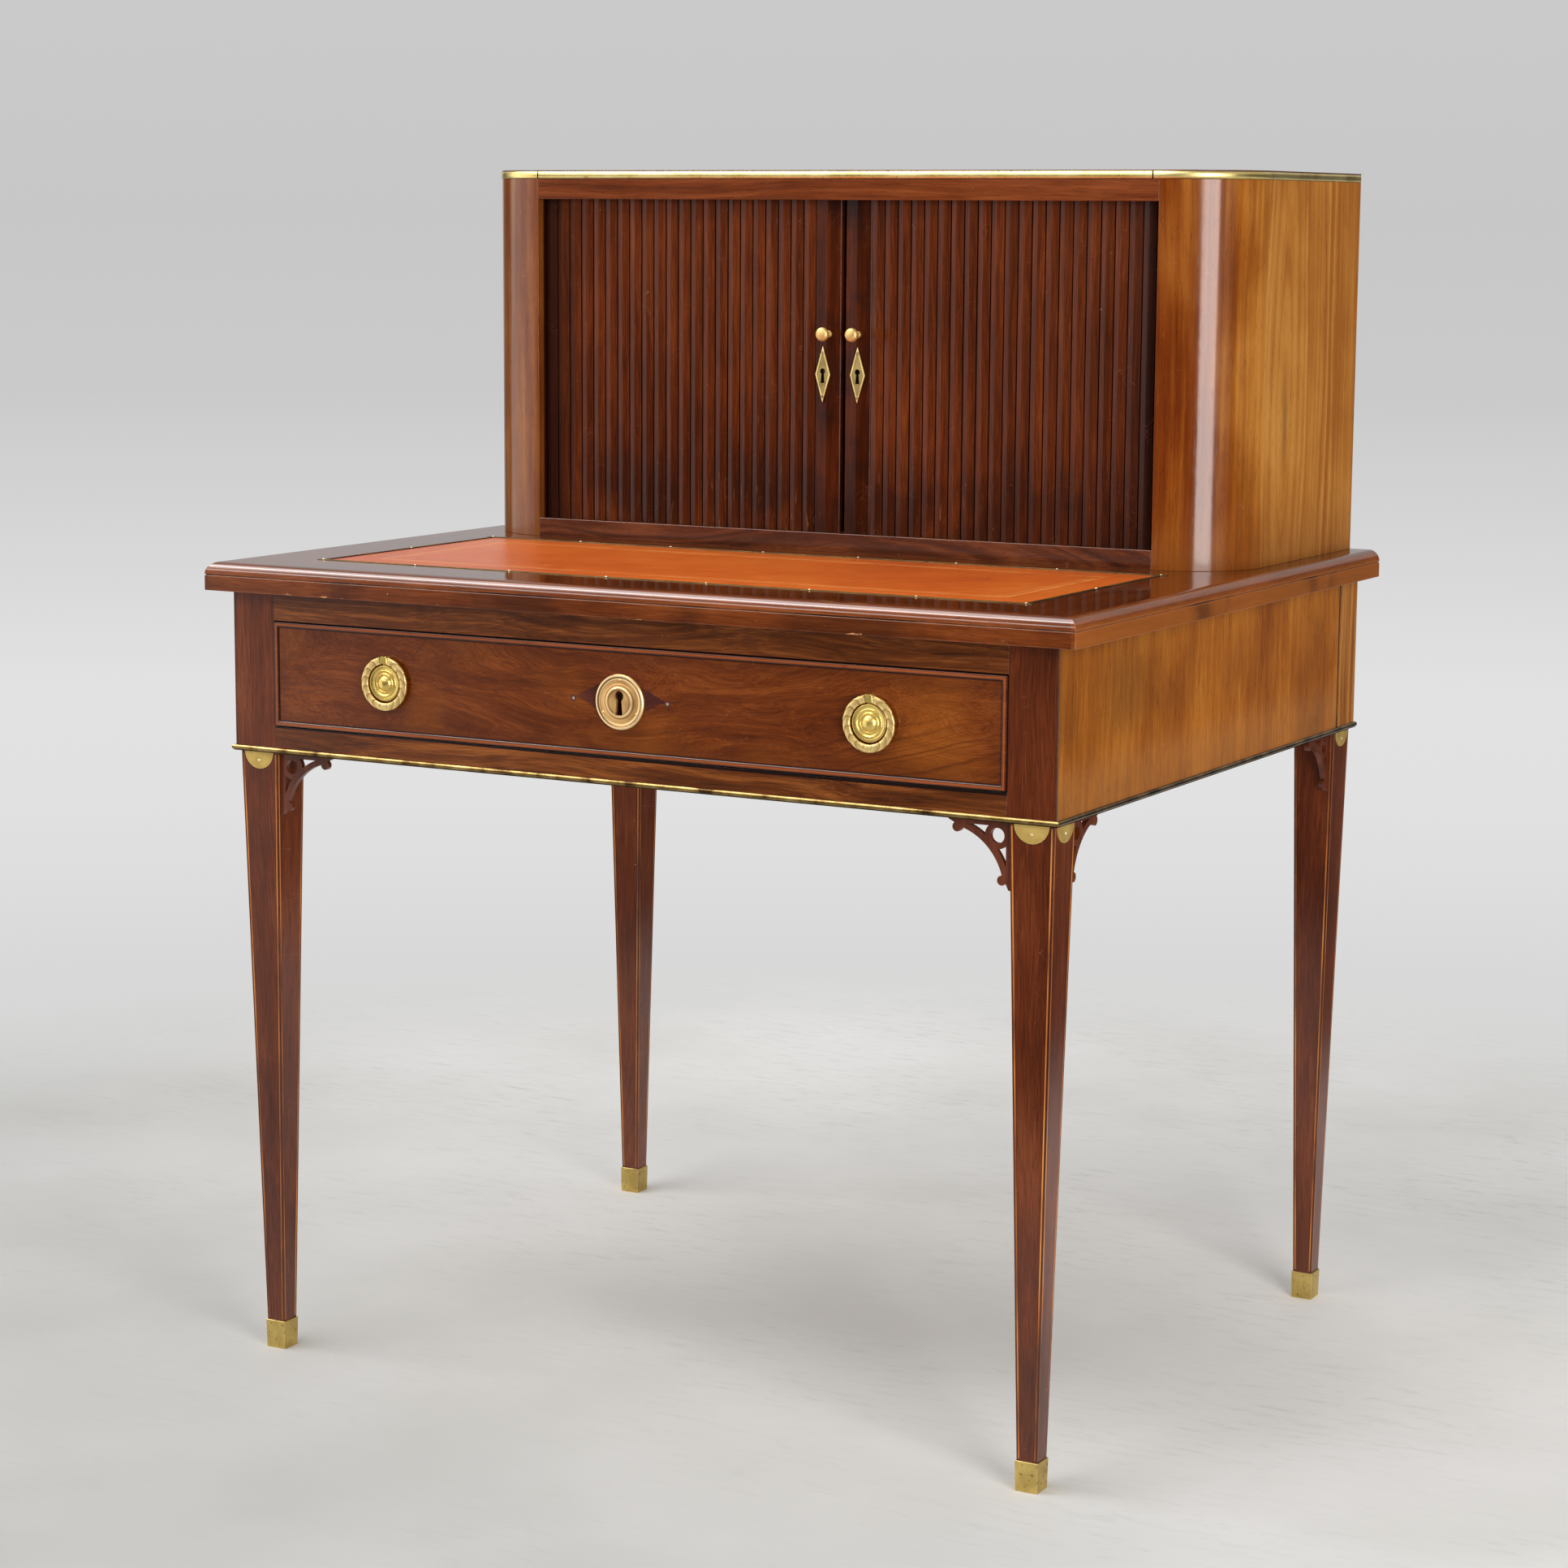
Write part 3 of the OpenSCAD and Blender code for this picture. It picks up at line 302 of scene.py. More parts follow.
def node_group(name, rule, outputs, **inputs):
    """A shader node group. Its rule takes a place and the inputs, and gives the outputs. An
    input that starts as None is a vector."""
    tree = bpy.data.node_groups.new(name, "ShaderNodeTree")
    inputs = {"Vector": None, **inputs}
    for socket, value in inputs.items():
        kind = "NodeSocketVector" if value is None else "NodeSocketFloat"
        made = tree.interface.new_socket(socket, in_out="INPUT", socket_type=kind)
        if value is not None:
            made.default_value = value
    for socket in outputs:
        tree.interface.new_socket(socket, in_out="OUTPUT", socket_type="NodeSocketFloat")
    given = tree.nodes.new("NodeGroupInput").outputs
    made = rule(*(Value(tree, given[socket]) for socket in inputs))
    fill(tree, tree.nodes.new("NodeGroupOutput").inputs, dict(zip(outputs, made)))
    return tree


def wood_figure(place, pith, taper, ring, waver, fibre):
    """Growth rings, streaks, fibres, pores and clouds of a board whose grain runs along Z."""
    def drawn_out(where, along):
        return vector("MULTIPLY", where, (1, 1, along))

    sway = noise(drawn_out(place, 0.3), 9.0, 2.5, output=1)
    sway = scaled(vector("SUBTRACT", sway, (0.5, 0.5, 0.5)), waver)
    board = vector("ADD", place, sway)
    flat = put("CombineXYZ", {0: 1.0, 1: 1.0, 2: taper})
    radius = vector("LENGTH", vector("MULTIPLY", vector("SUBTRACT", board, pith), flat))
    fine = 1.0 / fibre
    return (noise_along(radius / ring, 3.0, Roughness=0.65),
            noise(drawn_out(board, 0.03), fine * 0.16, 3.0),
            noise(drawn_out(board, 0.03), fine, 2.0),
            held(noise(drawn_out(board, 0.06), fine * 1.5, 1.0) * 9.0 - 5.7),
            noise(drawn_out(board, 0.5), 13.0, 4.0))


def edge_mask(place, reach, ragged):
    """1 along the arrises of a piece, within a distance of them, and ragged."""
    rounded = put("Bevel", {"Radius": reach}, samples=4)
    flat = put("NewGeometry", None, "Normal", place.tree)
    edge = held((1.0 - vector("DOT_PRODUCT", rounded, flat)) * 9.0)
    rough = held(noise(place, 90.0, 5.0) * 5.0 - 2.0)
    return [held(edge * (1.0 - ragged * (1.0 - rough)))]


def marks_of_use(place, spacing, size, share):
    """Small round specks scattered over a surface, and fine scratches in two directions."""
    cells = put("TexVoronoi", {"Vector": place, "Scale": 1.0 / spacing}, "Distance")
    lot = put("SeparateColor", {0: cells.beside("Color")})
    lines = []
    for turn, seed in ((0.5, 3.0), (-0.9, 11.0)):
        turned = mapped(place, Location=(seed,) * 3, Rotation=(turn,) * 3, Scale=(60.0, 6.0, 60.0))
        lines.append((abs(noise(turned, 1.0, 1.0) - 0.5) < 0.002) * (noise(turned, 0.7, 0.0) > 0.66))
    return (cells * spacing < size) * (lot < share), most(*lines)


WOOD_FIGURE = node_group("wood figure", wood_figure, ("Rings", "Streaks", "Fibres", "Pores", "Clouds"),
                         Pith=None, Taper=0.05, Ring=0.008, Waver=0.02, Fibre=0.0012)
EDGE_MASK = node_group("edge mask", edge_mask, ["Mask"], Reach=0.001, Ragged=0.5)
SPECKS = node_group("specks", marks_of_use, ("Specks", "Scratches"), Spacing=0.02, Size=0.0006, Share=0.5)
GRAIN_TURNS = {"X": (0, math.pi / 2, 0), "Y": (math.pi / 2, 0, 0), "Z": (0, 0, 0)}


def use(group, place, **values):
    """A shader group at a place on the piece, with its numbers set: its outputs by name."""
    made = put("Group", {"Vector": place, **values}, node_tree=group)
    return {socket.name: made.beside(socket.name) for socket in made.socket.node.outputs}


def polished_wood(name, tones, grain="Z", seed=0.0, pith=(0.35, 0.2, 0), taper=0.05, ring=0.008,
                  waver=0.03, fibre=0.0012, shares=(0.12, 0.3, 0.23, 0.35), edge=None, edge_reach=0.0012,
                  edge_share=0.7, speck=0.35, gloss=0.15, shine=0.5, laid=None, marks=None, worn=None):
    """Mahogany under French polish: three tones, grain along one axis, and its wear. The
    shares are those of rings, streaks, fibres and clouds. Three functions may change it: laid
    turns the board, marks colours the wood, and worn colours what lies over the polish."""
    material, place = new_material(name)
    shift = Vector((seed * 0.731, seed * 0.377, seed * 1.93))
    board = mapped(laid(place) if laid else place, Rotation=GRAIN_TURNS[grain], Location=shift)
    figure = use(WOOD_FIGURE, board, Pith=shift + Vector(pith), Taper=taper, Ring=ring, Waver=waver,
                 Fibre=fibre)
    layers = zip(("Rings", "Streaks", "Fibres", "Clouds"), shares)
    colour = ramp(sum(figure[layer] * share for layer, share in layers), *zip((0.37, 0.5, 0.63), tones))
    if marks:
        colour = marks(place, colour, figure)
    colour = blend(figure["Pores"] * 0.5, colour, (34, 14, 8))
    if edge:
        rim = use(EDGE_MASK, place, Reach=edge_reach, Ragged=0.6)
        colour = blend(rim["Mask"] * edge_share, colour, edge)
    dots = use(SPECKS, place, Spacing=0.03, Size=0.0006, Share=speck)
    colour = blend(dots["Specks"] * 0.6, colour, (190, 160, 135))
    colour = blend(dots["Scratches"] * 0.14, colour, (170, 120, 90))
    if worn:
        colour = worn(place, colour)
    relief = figure["Pores"] * -0.15 + noise(place, 60.0, 2.0)
    return surface(material, {"Base Color": colour, "Specular IOR Level": shine,
                              "Roughness": figure["Clouds"] * 0.16 + (gloss - 0.08),
                              "Normal": bumped(relief, 0.1, 0.0006)})


def dress(names, material, arris=0.0004, rounds=2):
    """Gives CAD nodes a finish, and takes off their sharp arrises."""
    for name in names:
        piece = nodes[name]
        piece.data.materials.clear()
        piece.data.materials.append(material)
        if arris:
            piece.modifiers.new("weld", "WELD").merge_threshold = 0.00001
            round_off = piece.modifiers.new("arris", "BEVEL")
            round_off.width = arris
            round_off.segments = rounds
            round_off.limit_method = "ANGLE"
            round_off.angle_limit = math.radians(35)
            flat_faces = piece.modifiers.new("flat faces", "WEIGHTED_NORMAL")
            flat_faces.mode = "FACE_AREA"
            flat_faces.weight = 90


def side_of_post(place, colour, figure):
    """The back legs' blocks are faced with the same golden veneer as the side rails."""
    block_side, block_foot = 0.4185, 0.577
    x, _, z = parts(place)
    golden = ramp(figure["Streaks"], (0.35, (126, 70, 20)), (0.6, (168, 110, 48)))
    return blend((abs(x) > block_side) * (z > block_foot), colour, golden)


for number, name in enumerate(("leg_front_left", "leg_front_right", "leg_back_left", "leg_back_right")):
    dress([name], polished_wood(
        "mahogany_" + name, ((58, 23, 8), (84, 36, 14), (110, 54, 25)), seed=1.3 + number,
        shares=(0.06, 0.16, 0.34, 0.44), edge=(26, 10, 6), edge_reach=0.0024, edge_share=0.85, speck=0.3,
        marks=side_of_post if "back" in name else None), 0.0003)


# ----------------------------------------
# Light lines: thin strips of pale wood glued into grooves along every edge of the legs.
# ----------------------------------------

def light_inlay():
    material, place = new_material("light_inlay")
    patchy = noise(mapped(place, Scale=(60.0, 60.0, 9.0)), 1.0, 4.0)
    colour = ramp(patchy, (0.36, (96, 48, 16)), (0.5, (164, 92, 32)), (0.66, (196, 126, 54)))
    return surface(material, {"Base Color": colour, "Roughness": 0.3})


dress(["leg_stringing"], light_inlay(), 0)


# ----------------------------------------
# Brass shoes: folded from sheet and pinned on, dull golden with darker patches and
# brighter edges.
# ----------------------------------------

def old_brass(name, bright, dull, tarnish, polish=0.25, patches=40.0, spotty=0.7, rim=None, metal=1.0,
              relief=None, worn=None):
    """Brass: a bright tone, a dull tone in patches, and tarnish where hands don't reach.
    Two functions may change it: relief gives its own bump, and worn colours it last."""
    material, place = new_material(name)
    cloud = noise(place, patches, 6.0)
    spots = held(noise(place, patches * 7, 5.0) * 7.0 - 4.1)
    colour = blend(spots * spotty, ramp(cloud, (0.35, dull), (0.6, bright)), tarnish)
    if rim:
        colour = blend(use(EDGE_MASK, place, Reach=0.0006, Ragged=0.3)["Mask"], colour, rim)
    if worn:
        colour = worn(place, colour)
    rough = cloud * 0.3 + (polish - 0.12)
    return surface(material, {"Base Color": colour, "Metallic": metal, "Roughness": spots * 0.25 + rough,
                              "Normal": relief(place) if relief else bumped(spots, 0.15, 0.0003)})


dress(["shoe_front_left", "shoe_front_right", "shoe_back_left", "shoe_back_right"],
      old_brass("shoe_brass", (220, 194, 118), (188, 160, 92), (104, 74, 42), 0.42,
                rim=(225, 205, 140)), 0.0004)


# ----------------------------------------
# Half-round plates at the heads of the legs and their pins; brass bead round the foot of
# the frieze, bright in front and dull at the sides.
# ----------------------------------------

dress(["half_moon_plates"],
      old_brass("plate_brass", (216, 184, 104), (194, 160, 84), (128, 96, 50), 0.36, 60.0, 0.3,
                rim=(236, 214, 146), metal=0.65), 0.00015)
dress(["brass_pins"], old_brass("pin_brass", (246, 236, 208), (214, 196, 150), (130, 104, 70), metal=0.8), 0)


def bead_brass():
    """Rubbed bright along the front and dull at the sides, with painted shade along its underside."""
    bead_foot, front_end = 0.5775, -0.337
    material, place = new_material("bead_brass")
    _, y, z = parts(place)
    along = noise(place, 38.0, 6.0)
    front = ramp(along, (0.4, (74, 52, 28)), (0.5, (140, 114, 66)), (0.64, (176, 150, 96)))
    sides = ramp(along, (0.36, (84, 62, 40)), (0.6, (150, 128, 92)))
    colour = blend(eased(y, front_end, front_end + 0.004), front, sides)
    # Painted shade: the lowest part of the bead, which faces down, is darkened.
    under = eased(z, bead_foot, bead_foot + 0.0013, 1, 0)
    return surface(material, {"Base Color": blend(under * 0.8, colour, (52, 32, 20)), "Metallic": 1.0,
                              "Roughness": along * 0.25 + 0.18})


dress(["frieze_bead"], bead_brass(), 0)


# ----------------------------------------
# Frieze: side rails under golden veneer, rails over and under the drawer, plain back rail.
# ----------------------------------------

def apron_stains(place, colour, figure):
    """A dark band where polish has soaked in, short dark runs up from the lower edge, an open
    joint before the rear block, and a dark front arris."""
    front_arris, rear_joint = -0.3373, 0.3045
    _, y, z = parts(place)
    broad = noise(mapped(place, Scale=(1.0, 1.0, 0.4)), 16.0, 6.0)
    band = window(z, 0.625, 0.665, 0.685, 0.73, 0.2) * eased(y, -0.3, 0.3, 0.7, 0.25)
    runs = eased(z, 0.585, 0.622, 1, 0) * 0.45
    soaked = most(band, runs) * held(broad * 4.0 - 1.5)
    colour = blend(soaked * 0.85, colour, (88, 44, 6))
    colour = blend(eased(z, 0.6, 0.64, 1, 0) * 0.14, colour, (206, 150, 90))
    colour = scaled(colour, eased(y, -0.34, 0.0, 0.84, 1.04))
    seam = most(broad * 0.0012 + y > rear_joint, broad * 0.0016 + y < front_arris)
    return blend(seam * 0.9, colour, (34, 16, 8))


for side, name in ((-1, "side_rail_left"), (1, "side_rail_right")):
    dress([name], polished_wood(
        "veneer_" + name, ((112, 54, 4), (144, 80, 13), (170, 106, 30)), seed=7.2 + side,
        pith=(side * 0.43, 0.1, 0.5), ring=0.02, shares=(0.04, 0.2, 0.3, 0.46), speck=0.5,
        marks=apron_stains, gloss=0.18), 0.0003)


def painted_gap_shadows(place, colour, figure):
    """Painted shadow: the rails' arrises beside the drawer are near black, as the gaps above and below it lie
    in shade, and the lower band widens towards the right. The rails are also darker towards the right.
    """
    lower_rail_head, upper_rail_foot = 0.5996, 0.7004
    x, _, z = parts(place)
    # Painted shadow of the gaps below and above the drawer.
    low_edge = eased(x, -0.25, 0.2, lower_rail_head + 0.0014, lower_rail_head)
    gap_shadow_below = (figure["Streaks"] * 0.0008 + z > low_edge) * (z < 0.64)
    above = (z < upper_rail_foot) * (z > 0.66)
    colour = scaled(colour, eased(x, -0.3, 0.3, 1.04, 0.88))
    return blend(most(gap_shadow_below, above), colour, (22, 9, 6))


dress(["front_top_rail", "front_bottom_rail"], polished_wood(
    "front_rail_wood", ((50, 22, 7), (88, 43, 14), (132, 74, 30)), grain="X", seed=4.4, ring=0.007,
    waver=0.06, shares=(0.3, 0.3, 0.25, 0.15), speck=0.5, marks=painted_gap_shadows), 0.0002)
dress(["back_rail", "cabinet_back"], polished_wood(
    "back_wood", ((70, 38, 20), (104, 60, 34), (132, 82, 48)), grain="X", seed=9.1, gloss=0.6), 0.0006)


# ----------------------------------------
# Corner brackets: sawn from thin mahogany board, with a pierced ring and two scrolls.
# ----------------------------------------

dress(["bracket_front_left", "bracket_front_right", "bracket_left_front", "bracket_left_back",
       "bracket_right_front", "bracket_right_back"],
      polished_wood("bracket_wood", ((52, 21, 9), (80, 34, 15), (104, 50, 24)), seed=3.9,
                    edge=(120, 60, 34), edge_reach=0.0008, edge_share=0.6, speck=0.2, gloss=0.3), 0.0004)


# ----------------------------------------
# Drawer: veneered front with a bead round it, softwood box, lock with its bolt. The veneer
# keeps the dark points of an inlaid lozenge on both sides of the round keyhole plate.
# ----------------------------------------

def lozenge_points(place, colour, figure):
    """The lozenge's points, a golden glow, slanting streaks at the right, a scratch at the left, a dark line
    in the corner beside the bead with the veneer darker towards it, and two filled holes beside the plate."""
    face, middle = -0.339, 0.651
    x, y, z = parts(place)
    steps = noise(place, 260.0, 1.0)
    reach = abs(x) / 0.046 + abs(z - 0.654) / 0.0215 + steps * 0.16
    colour = blend(eased(reach, 1.06, 1.1, 1, 0) * 0.85, colour, (54, 22, 24))
    glow = held(noise(place, 7.0, 2.0) * 4.0 - 2.0) * eased(figure["Clouds"], 0.35, 0.6)
    colour = blend(glow * eased(x, 0.05, 0.25, 0.55, 0.3), colour, (154, 86, 20))
    slope = vector("DOT_PRODUCT", place, (-0.28, 0, 1))
    streaks = eased(noise_along(slope * 210.0 + noise(place, 13.0, 2.0) * 4.0, 2.0), 0.48, 0.68)
    streaks = streaks * eased(x, 0.12, 0.26) * eased(z, 0.62, 0.672, 1, 0.15)
    colour = blend(streaks * 0.6, colour, (66, 26, 6))
    along, aside = (vector("DOT_PRODUCT", place, way) for way in ((0.669, 0, 0.743), (0.743, 0, -0.669)))
    scratch = abs(aside + 0.6127 + steps * 0.004) + most(abs(along - 0.3683) - 0.012, 0.0)
    colour = blend(eased(scratch, 0.0002, 0.0005, 0.8, 0), colour, (30, 12, 8))
    # A dark line in the corner beside the bead, and the veneer darker towards it.
    to_bead = most(abs(x) - 0.3682, abs(z - middle) - 0.0437) - 1.0 + (y < face + 0.0002)
    colour = blend(eased(to_bead, -0.0016, -0.0007, 0, 0.85), colour, (30, 12, 6))
    colour = blend(eased(to_bead, -0.02, -0.002, 0, 0.3), colour, (60, 24, 8))
    for hole in ((-0.0482, face, 0.6513), (0.0477, face, 0.6525)):
        away = vector("DISTANCE", place, hole)
        colour = blend(away < 0.0028, colour, (70, 42, 34))
        colour = blend(away < 0.0013, colour, (150, 132, 120))
    return colour


dress(["drawer_front"], polished_wood(
    "drawer_veneer", ((64, 25, 6), (90, 39, 9), (118, 59, 19)), grain="X", seed=5.3, pith=(0.6, 0.16, -0.2),
    taper=0.3, ring=0.012, waver=0.16, fibre=0.0008, shares=(0.2, 0.26, 0.32, 0.22), speck=0.4,
    marks=lozenge_points), 0.0002)


def crown_highlight_and_dark_sides(place, colour, figure):
    """A painted highlight along the bead's round top, and dark lines in the corners beside it."""
    x, _, z = parts(place)
    from_crown = abs(most(abs(x) - 0.37045, abs(z - 0.651) - 0.04595))
    # Painted highlight along the crown of the bead.
    colour = blend(eased(from_crown, 0.0003, 0.001, 0.6, 0), colour, (150, 80, 40))
    return blend(eased(from_crown, 0.0011, 0.0017, 0, 0.85), colour, (34, 13, 7))


dress(["drawer_cock_bead"], polished_wood(
    "bead_wood", ((76, 33, 13), (100, 46, 20), (126, 66, 34)), grain="X", seed=2.1,
    marks=crown_highlight_and_dark_sides), 0.0011, 4)
for names, name, tones, grain, seed in (
        (["drawer_sides"], "drawer_side_wood", ((150, 112, 70), (178, 138, 90), (200, 162, 112)), "Y", 6.0),
        (["drawer_back", "drawer_bottom"], "drawer_board_wood",
         ((140, 104, 64), (170, 130, 84), (194, 156, 106)), "X", 8.0),
        (["drawer_bearers"], "bearer_wood", ((132, 92, 56), (160, 116, 72), (184, 142, 94)), "Y", 9.0)):
    dress(names, polished_wood(name, tones, grain=grain, seed=seed, ring=0.005, gloss=0.6, speck=0.2))
dress(["drawer_lock"], old_brass("lock_brass", (190, 165, 100), (150, 124, 72), (90, 66, 38), 0.4), 0.0003)


def lock_steel():
    material, place = new_material("lock_steel")
    rust = ramp(noise(place, 220.0, 6.0), (0.4, (84, 66, 54)), (0.6, (150, 150, 146)))
    return surface(material, {"Base Color": rust, "Metallic": 1.0, "Roughness": 0.38})


dress(["drawer_lock_bolt"], lock_steel(), 0.0003)


# ----------------------------------------
# Brass on the drawer: round keyhole plate, and two stepped bosses that carry the pulls.
# Each pull is a cast ring, chased as a wreath of leaves that meet at its foot, and hangs
# on a pin through the lug of its boss.
# ----------------------------------------

def turned(build, place, profile, steps=72):
    """Adds a piece turned on a lathe: its axis points to the front from a place, and the
    profile is a list of (radius, height) in millimetres from its back to its middle."""
    rings = []
    for radius, height in profile:
        turns = [2 * math.pi * i / steps for i in range(steps if radius else 1)]
        points = [Vector((radius * math.cos(turn), -height, radius * math.sin(turn))) for turn in turns]
        rings.append([build.verts.new(place + point / 1000) for point in points])
    for first, second in zip(rings, rings[1:]):
        for i in range(steps):
            after = (i + 1) % steps
            to = second if len(second) == 1 else (second[after], second[i])
            build.faces.new((first[i], first[after], *to)).smooth = True


def flowing(points):
    """Smooths a profile by cutting its corners twice, and keeps its ends."""
    for _ in range(2):
        cut = [points[0]]
        for (r0, h0), (r1, h1) in zip(points, points[1:]):
            cut += [(r0 + (r1 - r0) * share, h0 + (h1 - h0) * share) for share in (0.25, 0.75)]
        points = cut + [points[-1]]
    return points


def walls(build, loops, ends=(0, -1)):
    """Adds the faces between each loop of points and the next, and those over the ends."""
    for first, second in zip(loops, loops[1:]):
        for i in range(len(first)):
            after = (i + 1) % len(first)
            build.faces.new((first[i], first[after], second[after], second[i]))
    for end in ends:
        build.faces.new(loops[end])


def built(build, name, material, outward=True):
    """Makes an object of what was built; its faces may be turned outward first."""
    if outward:
        bmesh.ops.recalc_face_normals(build, faces=build.faces)
    mesh = bpy.data.meshes.new(name)
    build.to_mesh(mesh)
    build.free()
    return new_object(name, mesh, material)


def turned_lines(place, colour):
    """The lines of the plate's turning: dark in the hollows, bright on the ridges."""
    radius = vector("LENGTH", vector("MULTIPLY", vector("SUBTRACT", place, (0, 0, 0.651)), (1, 0, 1)))
    for at, wide, shade in ((0.0218, 0.0007, (110, 72, 40)), (0.0232, 0.0005, (255, 232, 178)),
                            (0.0204, 0.0004, (248, 218, 160)), (0.0146, 0.0004, (132, 92, 54)),
                            (0.0127, 0.0005, (250, 222, 168)), (0.0108, 0.0004, (120, 82, 46))):
        colour = blend(eased(abs(radius - at), wide, wide * 2, 0.8, 0), colour, shade)
    return colour


dress(["drawer_key_plate"],
      old_brass("key_plate_brass", (222, 176, 112), (204, 156, 96), (150, 106, 62), 0.3, 90.0, 0.35,
                metal=0.7, worn=turned_lines), 0)


def stepped_bosses(brass):
    profile = flowing([(16.3, 0), (16.3, 4.2), (15.9, 4.9), (15.0, 5.1), (13.2, 4.6), (12.5, 4.5), (12.1, 5.0),
                       (11.5, 5.2), (10.9, 4.6), (9.9, 4.1), (9.1, 4.4), (8.7, 5.2), (8.0, 5.3), (7.5, 4.6),
                       (7.0, 4.5), (6.6, 5.2), (5.8, 6.1), (4.4, 7.0), (2.8, 7.6), (1.2, 7.9)]) + [(0, 8.0)]
    for name in ("left", "right"):
        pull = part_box("ring_pull_" + name)
        centre = Vector(((pull[0].x + pull[1].x) / 2, -0.339, 0.651))
        build = bmesh.new()
        turned(build, centre, profile)
        for half, low, high, front in ((2.6, 14.2, 19.0, 3.5), (3.85, 17.9, 24.4, 6.7)):
            shoulder = [(half, high - 1.2), (half * 0.86, high - 0.4), (half * 0.6, high)]
            outline = [(-half, low), (half, low), *shoulder, *((-x, z) for x, z in reversed(shoulder))]
            middle = (low + high) / 2
            loops = []
            for out, grow in ((0.5, 1.0), (front - 0.3, 1.0), (front, 0.92)):
                points = [Vector((x * grow, -out, middle + (z - middle) * grow)) for x, z in outline]
                loops.append([build.verts.new(centre + point / 1000) for point in points])
            walls(build, loops, [-1])
        piece = built(build, "boss_" + name, brass)
        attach(piece, "drawer")
        if name == "right":
            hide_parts("pull_plates")


stepped_bosses(old_brass("boss_brass", (226, 196, 110), (206, 174, 92), (140, 106, 52), 0.2, 30.0, 0.1,
                         metal=0.85))


def carried(place, name):
    """A number that the points of a mesh carry."""
    return put("Attribute", None, "Fac", place.tree, attribute_name=name)


def gilt_wreath():
    """Gilding that is bright on the high parts of the leaves and dull between them."""
    material, place = new_material("gilt_wreath")
    cast = noise(place, 900.0, 4.0)
    height = carried(place, "leaf_height")
    colour = ramp(height, (0.15, (146, 112, 62)), (0.5, (204, 168, 102)), (0.9, (246, 218, 146)))
    colour = blend(held(cast * 3.0 - 1.6), colour, (150, 118, 70))
    return surface(material, {"Base Color": colour, "Metallic": 0.7, "Roughness": height * -0.2 + 0.46,
                              "Normal": bumped(cast, 0.35, 0.0004)})


def leaf_relief(angle, across):
    """Height from 0 to 1 of the wreath's leaves; angle runs from 0 at the foot of the ring to
    pi at its head, across from -1 at its inner edge to 1 at its outer edge."""
    if angle < math.radians(9):
        return 0.75 + 0.25 * math.sin(angle * 60 + across * 6)
    leaf = angle / math.radians(24) - 0.4 * (1 - abs(across)) + 0.3 * across
    tip = leaf - math.floor(leaf)
    rib = 0.25 * max(0.0, 1 - abs(across) * 5)
    return min(1.0, 4.0 * tip) * (1 - 0.55 * tip) + rib + 0.14 * math.sin(angle * 110 + across * 9)


def ring_pull(name):
    low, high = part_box("ring_pull_" + name)
    radius, half_band, half_thick, half_gap = 0.0211, 0.0035, 0.002, 0.0042
    middle = Vector(((low.x + high.x) / 2, (low.y + high.y) / 2, high.z - radius - half_band))
    open_half = half_gap / radius
    turns, around = 300, 26
    build = bmesh.new()
    layer = build.verts.layers.float.new("leaf_height")
    loops = []
    for step in range(turns + 1):
        angle = open_half + (2 * math.pi - 2 * open_half) * step / turns
        loop = []
        for point in range(around):
            turn = 2 * math.pi * point / around
            across, raised = (math.copysign(abs(way) ** 0.7, way) for way in (math.cos(turn), math.sin(turn)))
            height = leaf_relief(abs(math.pi - angle), across)
            out = radius + half_band * across - 0.00025 * (1 - height) * max(0.0, across)
            lift = half_thick * raised - 0.0006 * (1 - height) * max(0.0, raised)
            vert = build.verts.new(middle + Vector((math.sin(angle) * out, -lift, math.cos(angle) * out)))
            vert[layer] = min(1.0, max(0.0, height))
            loop.append(vert)
        loops.append(loop)
    walls(build, loops)
    head = Matrix.Translation(middle + Vector((0, 0, radius))) @ Matrix.Rotation(math.pi / 2, 4, "Y")
    pin = bmesh.ops.create_cone(build, cap_ends=True, segments=20, radius1=0.0011, radius2=0.0011,
                                depth=0.0124, matrix=head)
    for vert in pin["verts"]:
        vert[layer] = 0.6
    for face in build.faces:
        face.smooth = len(face.verts) == 4
    piece = built(build, "wreath_pull_" + name, gilt_wreath())
    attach(piece, name + "_ring")
    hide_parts("ring_pull_" + name)


ring_pull("left")
ring_pull("right")


# ----------------------------------------
# Writing top: mahogany border with mitred corners round the leather, its edge rounded over
# a scored line. Strips of dull brass, pinned down, cover the joint with the leather.
# ----------------------------------------

def mitred(place):
    """The border's grain runs along each side, and meets in mitres at the front corners."""
    side_joint, front_joint = 0.3618, -0.2808
    x, y, z = parts(place)
    end_board = abs(x) - side_joint > most(front_joint - y, 0.0)
    across = put("CombineXYZ", {0: y, 1: x, 2: z})
    return put("Mix", {0: end_board, 4: place, 5: across}, 1, data_type="VECTOR")


